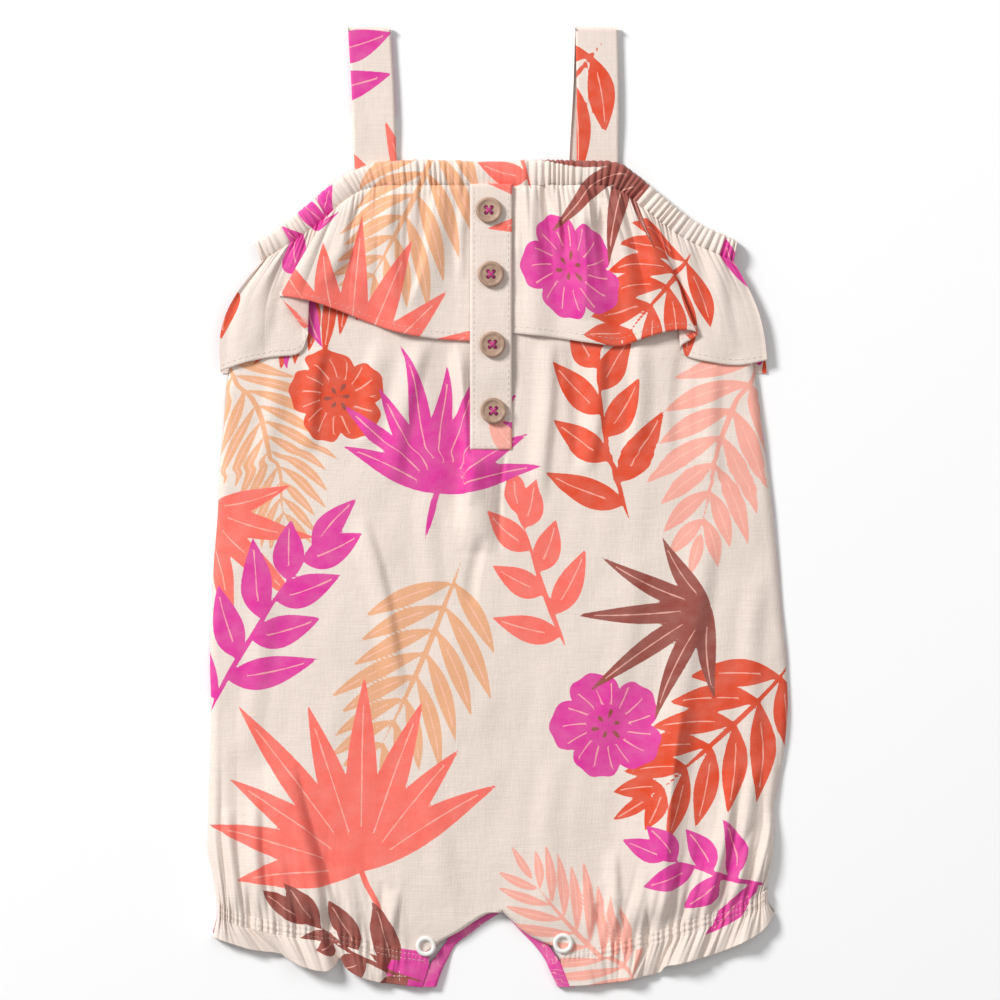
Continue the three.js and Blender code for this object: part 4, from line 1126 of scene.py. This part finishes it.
def tube(path, radius, sides=6):
    """Points and faces of a round thread along a path."""
    path = np.asarray(path, float)
    heading = np.gradient(path, axis=0)
    heading /= np.linalg.norm(heading, axis=1, keepdims=True)
    side = np.cross(heading, (0, 0, 1))
    side /= np.maximum(np.linalg.norm(side, axis=1, keepdims=True), 1e-6)
    up = np.cross(side, heading)
    points = []
    for i in range(len(path)):
        thin = radius * (0.45 if i in (0, len(path) - 1) else 1)
        for j in range(sides):
            angle = 2 * np.pi * j / sides
            points.append(path[i] + thin * (math.cos(angle) * side[i] + math.sin(angle) * up[i]))
    caps = [tuple(range(sides))[::-1], tuple((len(path) - 1) * sides + j for j in range(sides))]
    return points, ring_faces(len(path), sides) + caps


def placed(points, x, y, z):
    return [(p[0] + x, p[1] + y, p[2] + z) for p in points]


def foot_of(node):
    """Middle of a solid in plan, and the height of its underside."""
    low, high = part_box(node)
    return (low.x + high.x) / 2 / MM, (low.y + high.y) / 2 / MM, low.z / MM


def button_disc():
    """A round button with a raised rim."""
    radius, thick = BUTTON["radius"], BUTTON["thick"]
    profile = [
        (0.01, 0.0), (radius - 0.9, 0.0), (radius - 0.3, 0.35), (radius, 0.9), (radius - 0.05, 1.45),
        (radius - 0.35, thick - 0.1), (radius - 0.8, thick), (radius - 1.25, thick - 0.12),
        (radius - 1.7, thick - 0.5), (radius - 2.2, thick - 0.62), (0.01, thick - 0.55),
    ]
    return lathe(profile, 64)


def button_strand(turn, shift, face):
    """One strand of the thread that crosses from hole to hole, on one of the two slopes."""
    at = BUTTON["hole_at"]
    path = []
    for share in np.linspace(-1, 1, 9):
        lift = 0.32 * (1 - share**4) + (0.12 if turn > 0 else 0)
        path.append((share * at + shift, (share * at - shift) * turn, face + lift))
    return path


def button(index, materials):
    """A four-hole button, sewn on with a cross of thread."""
    node = f"button_{index}"
    x, y, z = foot_of(node)
    disc, faces = button_disc()
    parts = [(placed(disc, x, y, z), faces, 0)]
    face = BUTTON["thick"] - BUTTON["sunk"]
    hole, at = BUTTON["hole"], BUTTON["hole_at"]
    # The holes are not cut: each is a flat disc of the thread's magenta with the holes' shade painted in.
    dark, faces = lathe([(0.01, 0.02), (hole * 0.8, 0.02), (hole, 0.06), (hole + 0.14, 0.0)], 16)
    for sx, sy in ((-1, -1), (-1, 1), (1, -1), (1, 1)):
        parts.append((placed(dark, x + sx * at, y + sy * at, z + face + 0.02), faces, 1))
    for turn in (1, -1):
        for shift in (-0.168, 0.0, 0.168):
            strand = placed(button_strand(turn, shift, face), x, y, z)
            parts.append((*tube(strand, 0.17), 2))
    name = f"{node}_sewn"
    return piece(name, hard_mesh(name, parts, materials), [node])


def snap(node, material):
    """A ring snap, let into the cloth."""
    x, y, z = foot_of(node)
    radius, hole, thick = SNAP["radius"], SNAP["hole"], SNAP["thick"]
    sunk = 0.6
    profile = [
        (hole, -sunk), (radius - 0.3, -sunk), (radius, 0.1), (radius - 0.1, thick * 0.55),
        (radius - 0.5, thick * 0.9), (radius - 1.0, thick), (hole + 0.5, thick * 0.9),
        (hole + 0.1, thick * 0.6), (hole, thick * 0.2), (hole, -sunk),
    ]
    ring, faces = lathe(profile, 56)
    name = f"{node}_ring"
    mesh = hard_mesh(name, [(placed(ring, x, y, z - sunk), faces, 0)], [material])
    return piece(name, mesh, [node])


def stitch_line(path, pitch=2.7, length=1.9, radius=0.16):
    """Short threads along a line of points, each dipping into the cloth at its ends."""
    path = np.asarray(path, float)
    run = np.concatenate([[0], np.cumsum(np.linalg.norm(np.diff(path, axis=0), axis=1))])
    parts = []
    for start in np.arange(0.4, run[-1] - length, pitch):
        at = np.linspace(start, start + length, 5)
        points = np.stack([np.interp(at, run, path[:, i]) for i in range(3)], -1)
        points[:, 2] += np.array([-0.12, 0.1, 0.16, 0.1, -0.12])
        parts.append((*tube(points, radius, 5), 0))
    return parts


def on_shell(made, line):
    """Points of a line in plan, lifted onto a shell."""
    shell = made.evaluated_get(bpy.context.evaluated_depsgraph_get())
    lifted = []
    for x, y in line:
        hit, place, _, _ = shell.ray_cast((x * MM, y * MM, 0.05), (0, 0, -1))
        if hit:
            lifted.append((x, y, place.z / MM))
    return lifted


def thread_piece(name, lines, material, **sizes):
    """One object with a row of stitches along each line."""
    parts = [part for line in lines for part in stitch_line(line, **sizes)]
    return piece(name, hard_mesh(name, parts, [material]), ())


def placket_threads(band, material):
    """Stitches down, across and up again inside the edges of the placket."""
    left, right = PLACKET["left"] + PLACKET_SEAM, PLACKET["right"] - PLACKET_SEAM
    low = PLACKET["bottom"] + PLACKET_SEAM
    down = np.linspace(PLACKET["top"] - 1.8, low, 60)
    edge = [(left, y) for y in down]
    edge += [(x, low) for x in np.linspace(left, right, 10)]
    edge += [(right, y) for y in down[::-1]]
    return thread_piece("placket_stitches", [on_shell(band, edge)], material, radius=0.1)


def ruffle_threads(side, material):
    """Hem stitches of a ruffle half."""
    grid, _, _ = ruffle_grid(side)
    hem = grid[-4] + np.array([0, 0, 0.05])
    return thread_piece(f"ruffle_stitches_{side}", [hem], material, radius=0.07)


def leg_threads(side, material):
    """Two rows of stitches across the front of a leg's elastic band."""
    share = np.linspace(0.02, 0.99, 400)
    lines = [leg_band(side, share, np.full_like(share, c)) + np.array([0, 0, 0.08]) for c in BAND_SEAMS]
    return thread_piece(f"leg_stitches_{side}", lines, material, pitch=2.0, length=1.5, radius=0.1)


def tack(made, material):
    """Cross of thread that tacks the left leg's turned end."""
    x, y = TACK_AT
    lines = [
        on_shell(made, [(x + s * 3.2, y) for s in np.linspace(-1, 1, 9)]),
        on_shell(made, [(x, y + s * 2.6) for s in np.linspace(-1, 1, 9)]),
    ]
    return thread_piece("tack_stitches", lines, material, pitch=1.6, length=1.3, radius=0.16)


# Materials


def feed(tree, node, inputs):
    """Sets a node's inputs, each to a value or to what another node puts out."""
    for key, value in inputs.items():
        if isinstance(value, bpy.types.NodeSocket):
            tree.links.new(value, node.inputs[key])
        else:
            node.inputs[key].default_value = value


def add_node(tree, kind, inputs=None, **settings):
    made = tree.nodes.new(kind)
    for key, value in settings.items():
        setattr(made, key, value)
    feed(tree, made, inputs or {})
    return made


def new_material(name, coordinates):
    """A material, its nodes, its shader, and the place on it by the named coordinates."""
    material = bpy.data.materials.new(name)
    material.use_nodes = True
    tree = material.node_tree
    place = add_node(tree, "ShaderNodeTexCoord").outputs[coordinates]
    return material, tree, tree.nodes["Principled BSDF"], place


def mixed(tree, factor, a, b):
    """One colour over another by a factor."""
    return add_node(tree, "ShaderNodeMix", {0: factor, 6: a, 7: b}, data_type="RGBA").outputs[2]


def maths(tree, operation, a, b=0.0):
    return add_node(tree, "ShaderNodeMath", {0: a, 1: b}, operation=operation).outputs[0]


def ranged(tree, value, low, high, out_low=0.0, out_high=1.0):
    inputs = {"Value": value, "From Min": low, "From Max": high, "To Min": out_low, "To Max": out_high}
    return add_node(tree, "ShaderNodeMapRange", inputs).outputs["Result"]


def noise(tree, place, scale, detail=2.0):
    inputs = {"Vector": place, "Scale": scale, "Detail": detail}
    return add_node(tree, "ShaderNodeTexNoise", inputs).outputs["Fac"]


def slub(tree, uv, scale, detail=2.0):
    """Noise stretched along the threads. scale is millimetres in x and y."""
    size = (FLAT_UNIT / scale[0], FLAT_UNIT / scale[1], 1)
    place = add_node(tree, "ShaderNodeMapping", {"Vector": uv, "Scale": size}).outputs[0]
    return noise(tree, place, 1.0, detail)


def attribute(tree, name):
    node = add_node(tree, "ShaderNodeAttribute", attribute_name=name, attribute_type="GEOMETRY")
    return node.outputs["Fac"]


def weave_height(tree, uv):
    """Threads, slubs and the soft unevenness of plain linen cloth."""
    warp = slub(tree, uv, (0.42, 5.0))
    weft = slub(tree, uv, (6.0, 0.42))
    crumple = slub(tree, uv, (7.0, 9.0), 3.0)
    threads = maths(tree, "ADD", warp, weft)
    return maths(tree, "ADD", threads, maths(tree, "MULTIPLY", crumple, 2.2))


def finish(tree, shader, colour, roughness, height, strength, distance):
    """Colour, roughness and small bumps of a material."""
    bump = add_node(tree, "ShaderNodeBump", {"Height": height, "Strength": strength, "Distance": distance})
    feed(tree, shader, {"Normal": bump.outputs[0], "Base Color": colour, "Roughness": roughness})


def finish_cloth(tree, shader, uv, colour):
    finish(tree, shader, colour, 0.88, weave_height(tree, uv), 0.35, 0.0004)
    feed(tree, shader, {"Specular IOR Level": 0.25, "Sheen Weight": 0.18, "Sheen Roughness": 0.45})


def ground_colour(tree, uv):
    """Oat cloth with thread streaks."""
    streaks = maths(tree, "MULTIPLY", slub(tree, uv, (0.7, 14.0)), slub(tree, uv, (16.0, 0.7)))
    share = ranged(tree, streaks, 0.12, 0.42)
    return mixed(tree, share, linear(COLOURS["ground_shade"]), linear(COLOURS["ground"]))


def printed_cloth():
    """Oat cloth with the inks laid on it, paler on its wrong side."""
    material, tree, shader, uv = new_material("printed_cloth", "UV")
    colour = ground_colour(tree, uv)
    ground = colour
    rough_edge = ranged(tree, slub(tree, uv, (1.8, 1.8)), 0.2, 0.8, -0.1, 0.1)
    tone = ranged(tree, slub(tree, uv, (9.0, 7.0), 3.0), 0.3, 0.7, 0.0, 0.1)
    inked = None
    for ink in INKS:
        field = maths(tree, "ADD", attribute(tree, f"ink_{ink}"), rough_edge)
        mask = ranged(tree, field, -0.1, 0.12)
        paint = mixed(tree, tone, linear(COLOURS[ink]), ground)
        colour = mixed(tree, mask, colour, paint)
        inked = mask if inked is None else maths(tree, "MAXIMUM", inked, mask)
    line = maths(tree, "ABSOLUTE", attribute(tree, "vein"))
    thin = ranged(tree, slub(tree, uv, (5.0, 5.0)), 0.3, 0.7, 0.12, 0.42)
    drawn = maths(tree, "LESS_THAN", line, thin)
    drawn = maths(tree, "MULTIPLY", drawn, ranged(tree, attribute(tree, "by_vein"), 0.4, 0.55))
    veins = maths(tree, "MULTIPLY", maths(tree, "MULTIPLY", drawn, inked), 0.62)
    colour = mixed(tree, veins, colour, linear(COLOURS["vein"]))
    wrong = maths(tree, "MULTIPLY", attribute(tree, "wrong_side"), 0.72)
    colour = mixed(tree, wrong, colour, linear(COLOURS["wrong_side"]))
    finish_cloth(tree, shader, uv, colour)
    return material


def inseam_cloth():
    """The magenta part of the print, where the inseam strip was cut."""
    material, tree, shader, uv = new_material("inseam_cloth", "UV")
    tone = ranged(tree, slub(tree, uv, (9.0, 7.0), 3.0), 0.3, 0.7, 0.0, 0.2)
    colour = mixed(tree, tone, linear(COLOURS["magenta"]), linear(COLOURS["ground"]))
    level = ranged(tree, slub(tree, uv, (9.0, 26.0)), 0, 1, -1, 1)
    streak = maths(tree, "LESS_THAN", maths(tree, "ABSOLUTE", level), 0.006)
    colour = mixed(tree, maths(tree, "MULTIPLY", streak, 0.5), colour, linear(COLOURS["vein"]))
    finish_cloth(tree, shader, uv, colour)
    return material


def button_material():
    """Mottled brown plastic, like horn."""
    material, tree, shader, place = new_material("button", "Object")
    spots = noise(tree, place, 420.0, 4.0)
    share = ranged(tree, maths(tree, "ADD", spots, noise(tree, place, 150.0)), 0.75, 1.3)
    colour = mixed(tree, share, linear(COLOURS["button_dark"]), linear(COLOURS["button"]))
    finish(tree, shader, colour, 0.55, spots, 0.2, 0.0002)
    return material


def plain_material(name, paint, roughness, noise_scale, depth=0.0001, spread=0.08):
    """One of the colours with slight unevenness, for thread, the painted shade in the button holes, snaps and
    the floor.
    """
    material, tree, shader, place = new_material(name, "Object")
    light = linear(COLOURS[paint])
    dark = tuple(c * (1 - 3 * spread) for c in light[:3]) + (1.0,)
    uneven = noise(tree, place, noise_scale)
    colour = mixed(tree, ranged(tree, uneven, 0.3, 0.7), dark, light)
    finish(tree, shader, colour, roughness, uneven, 0.25, depth)
    return material


# Room


def make_camera():
    data = bpy.data.cameras.new("camera")
    data.sensor_width = 36
    data.lens = 36 * CAMERA["height"] / CAMERA["frame"]
    data.clip_end = 20
    made = placed_object("camera", data)
    made.location = [CAMERA[key] * MM for key in ("x", "y", "height")]
    bpy.context.scene.camera = made


def area_light(name, place, size, power):
    """A round light that faces the middle of the romper."""
    data = bpy.data.lights.new(name, "AREA")
    data.shape = "DISK"
    data.size = size
    data.energy = power
    made = placed_object(name, data)
    made.location = place
    made.rotation_mode = "QUATERNION"
    made.rotation_quaternion = Vector(-np.array(place)).to_track_quat("-Z", "Y")


def make_room():
    """White floor, two lights and a white sky."""
    mesh = bpy.data.meshes.new("floor")
    half = 4.0
    corners = [(-half, -half, 0), (half, -half, 0), (half, half, 0), (-half, half, 0)]
    mesh.from_pydata(corners, [], [(0, 1, 2, 3)])
    mesh.materials.append(plain_material("floor", "floor", 0.9, 3.0, spread=0.0))
    placed_object("floor", mesh)
    for name, (place, size, power) in LIGHTS.items():
        area_light(name, place, size, power)
    world = bpy.data.worlds.new("world")
    world.use_nodes = True
    background = world.node_tree.nodes["Background"]
    background.inputs["Color"].default_value = (1, 1, 1, 1)
    background.inputs["Strength"].default_value = SKY_STRENGTH
    bpy.context.scene.world = world
    bpy.context.scene.view_settings.view_transform = "Standard"


def main():
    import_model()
    make_camera()
    make_room()
    printed = printed_cloth()
    sewing = plain_material("sewing_thread", "stitch", 0.75, 900.0)
    body_front(printed)
    body_back(printed)
    for side, width in (("left", 0.15), ("right", 0.145)):
        half = ruffle_half(side, printed)
        threads = ruffle_threads(side, sewing)
    ruffle_back(printed)
    for name in CASINGS:
        front_casing(name, printed)
    casing_back(printed)
    band = placket(printed)
    placket_threads(band, sewing)
    for name in STRAPS:
        strap(name, printed)
    for side in ("left", "right"):
        end = leg_end(side, printed)
        threads = leg_threads(side, sewing)
        if side == "left":
            tack(end, sewing)
    inseam(inseam_cloth())
    thread = plain_material("button_thread", "thread", 0.7, 900.0)
    # painted shade: dark discs that stand for the shaded button holes
    hole = plain_material("button_hole_shade", "button_hole_shade", 0.8, 500.0)
    horn = button_material()
    for index in range(1, len(BUTTON_HEIGHTS) + 1):
        button(index, [horn, hole, thread])
    ring = plain_material("snap_ring", "snap", 0.35, 300.0, 0.00005, 0.02)
    for name in SNAPS:
        snap(name, ring)


main()
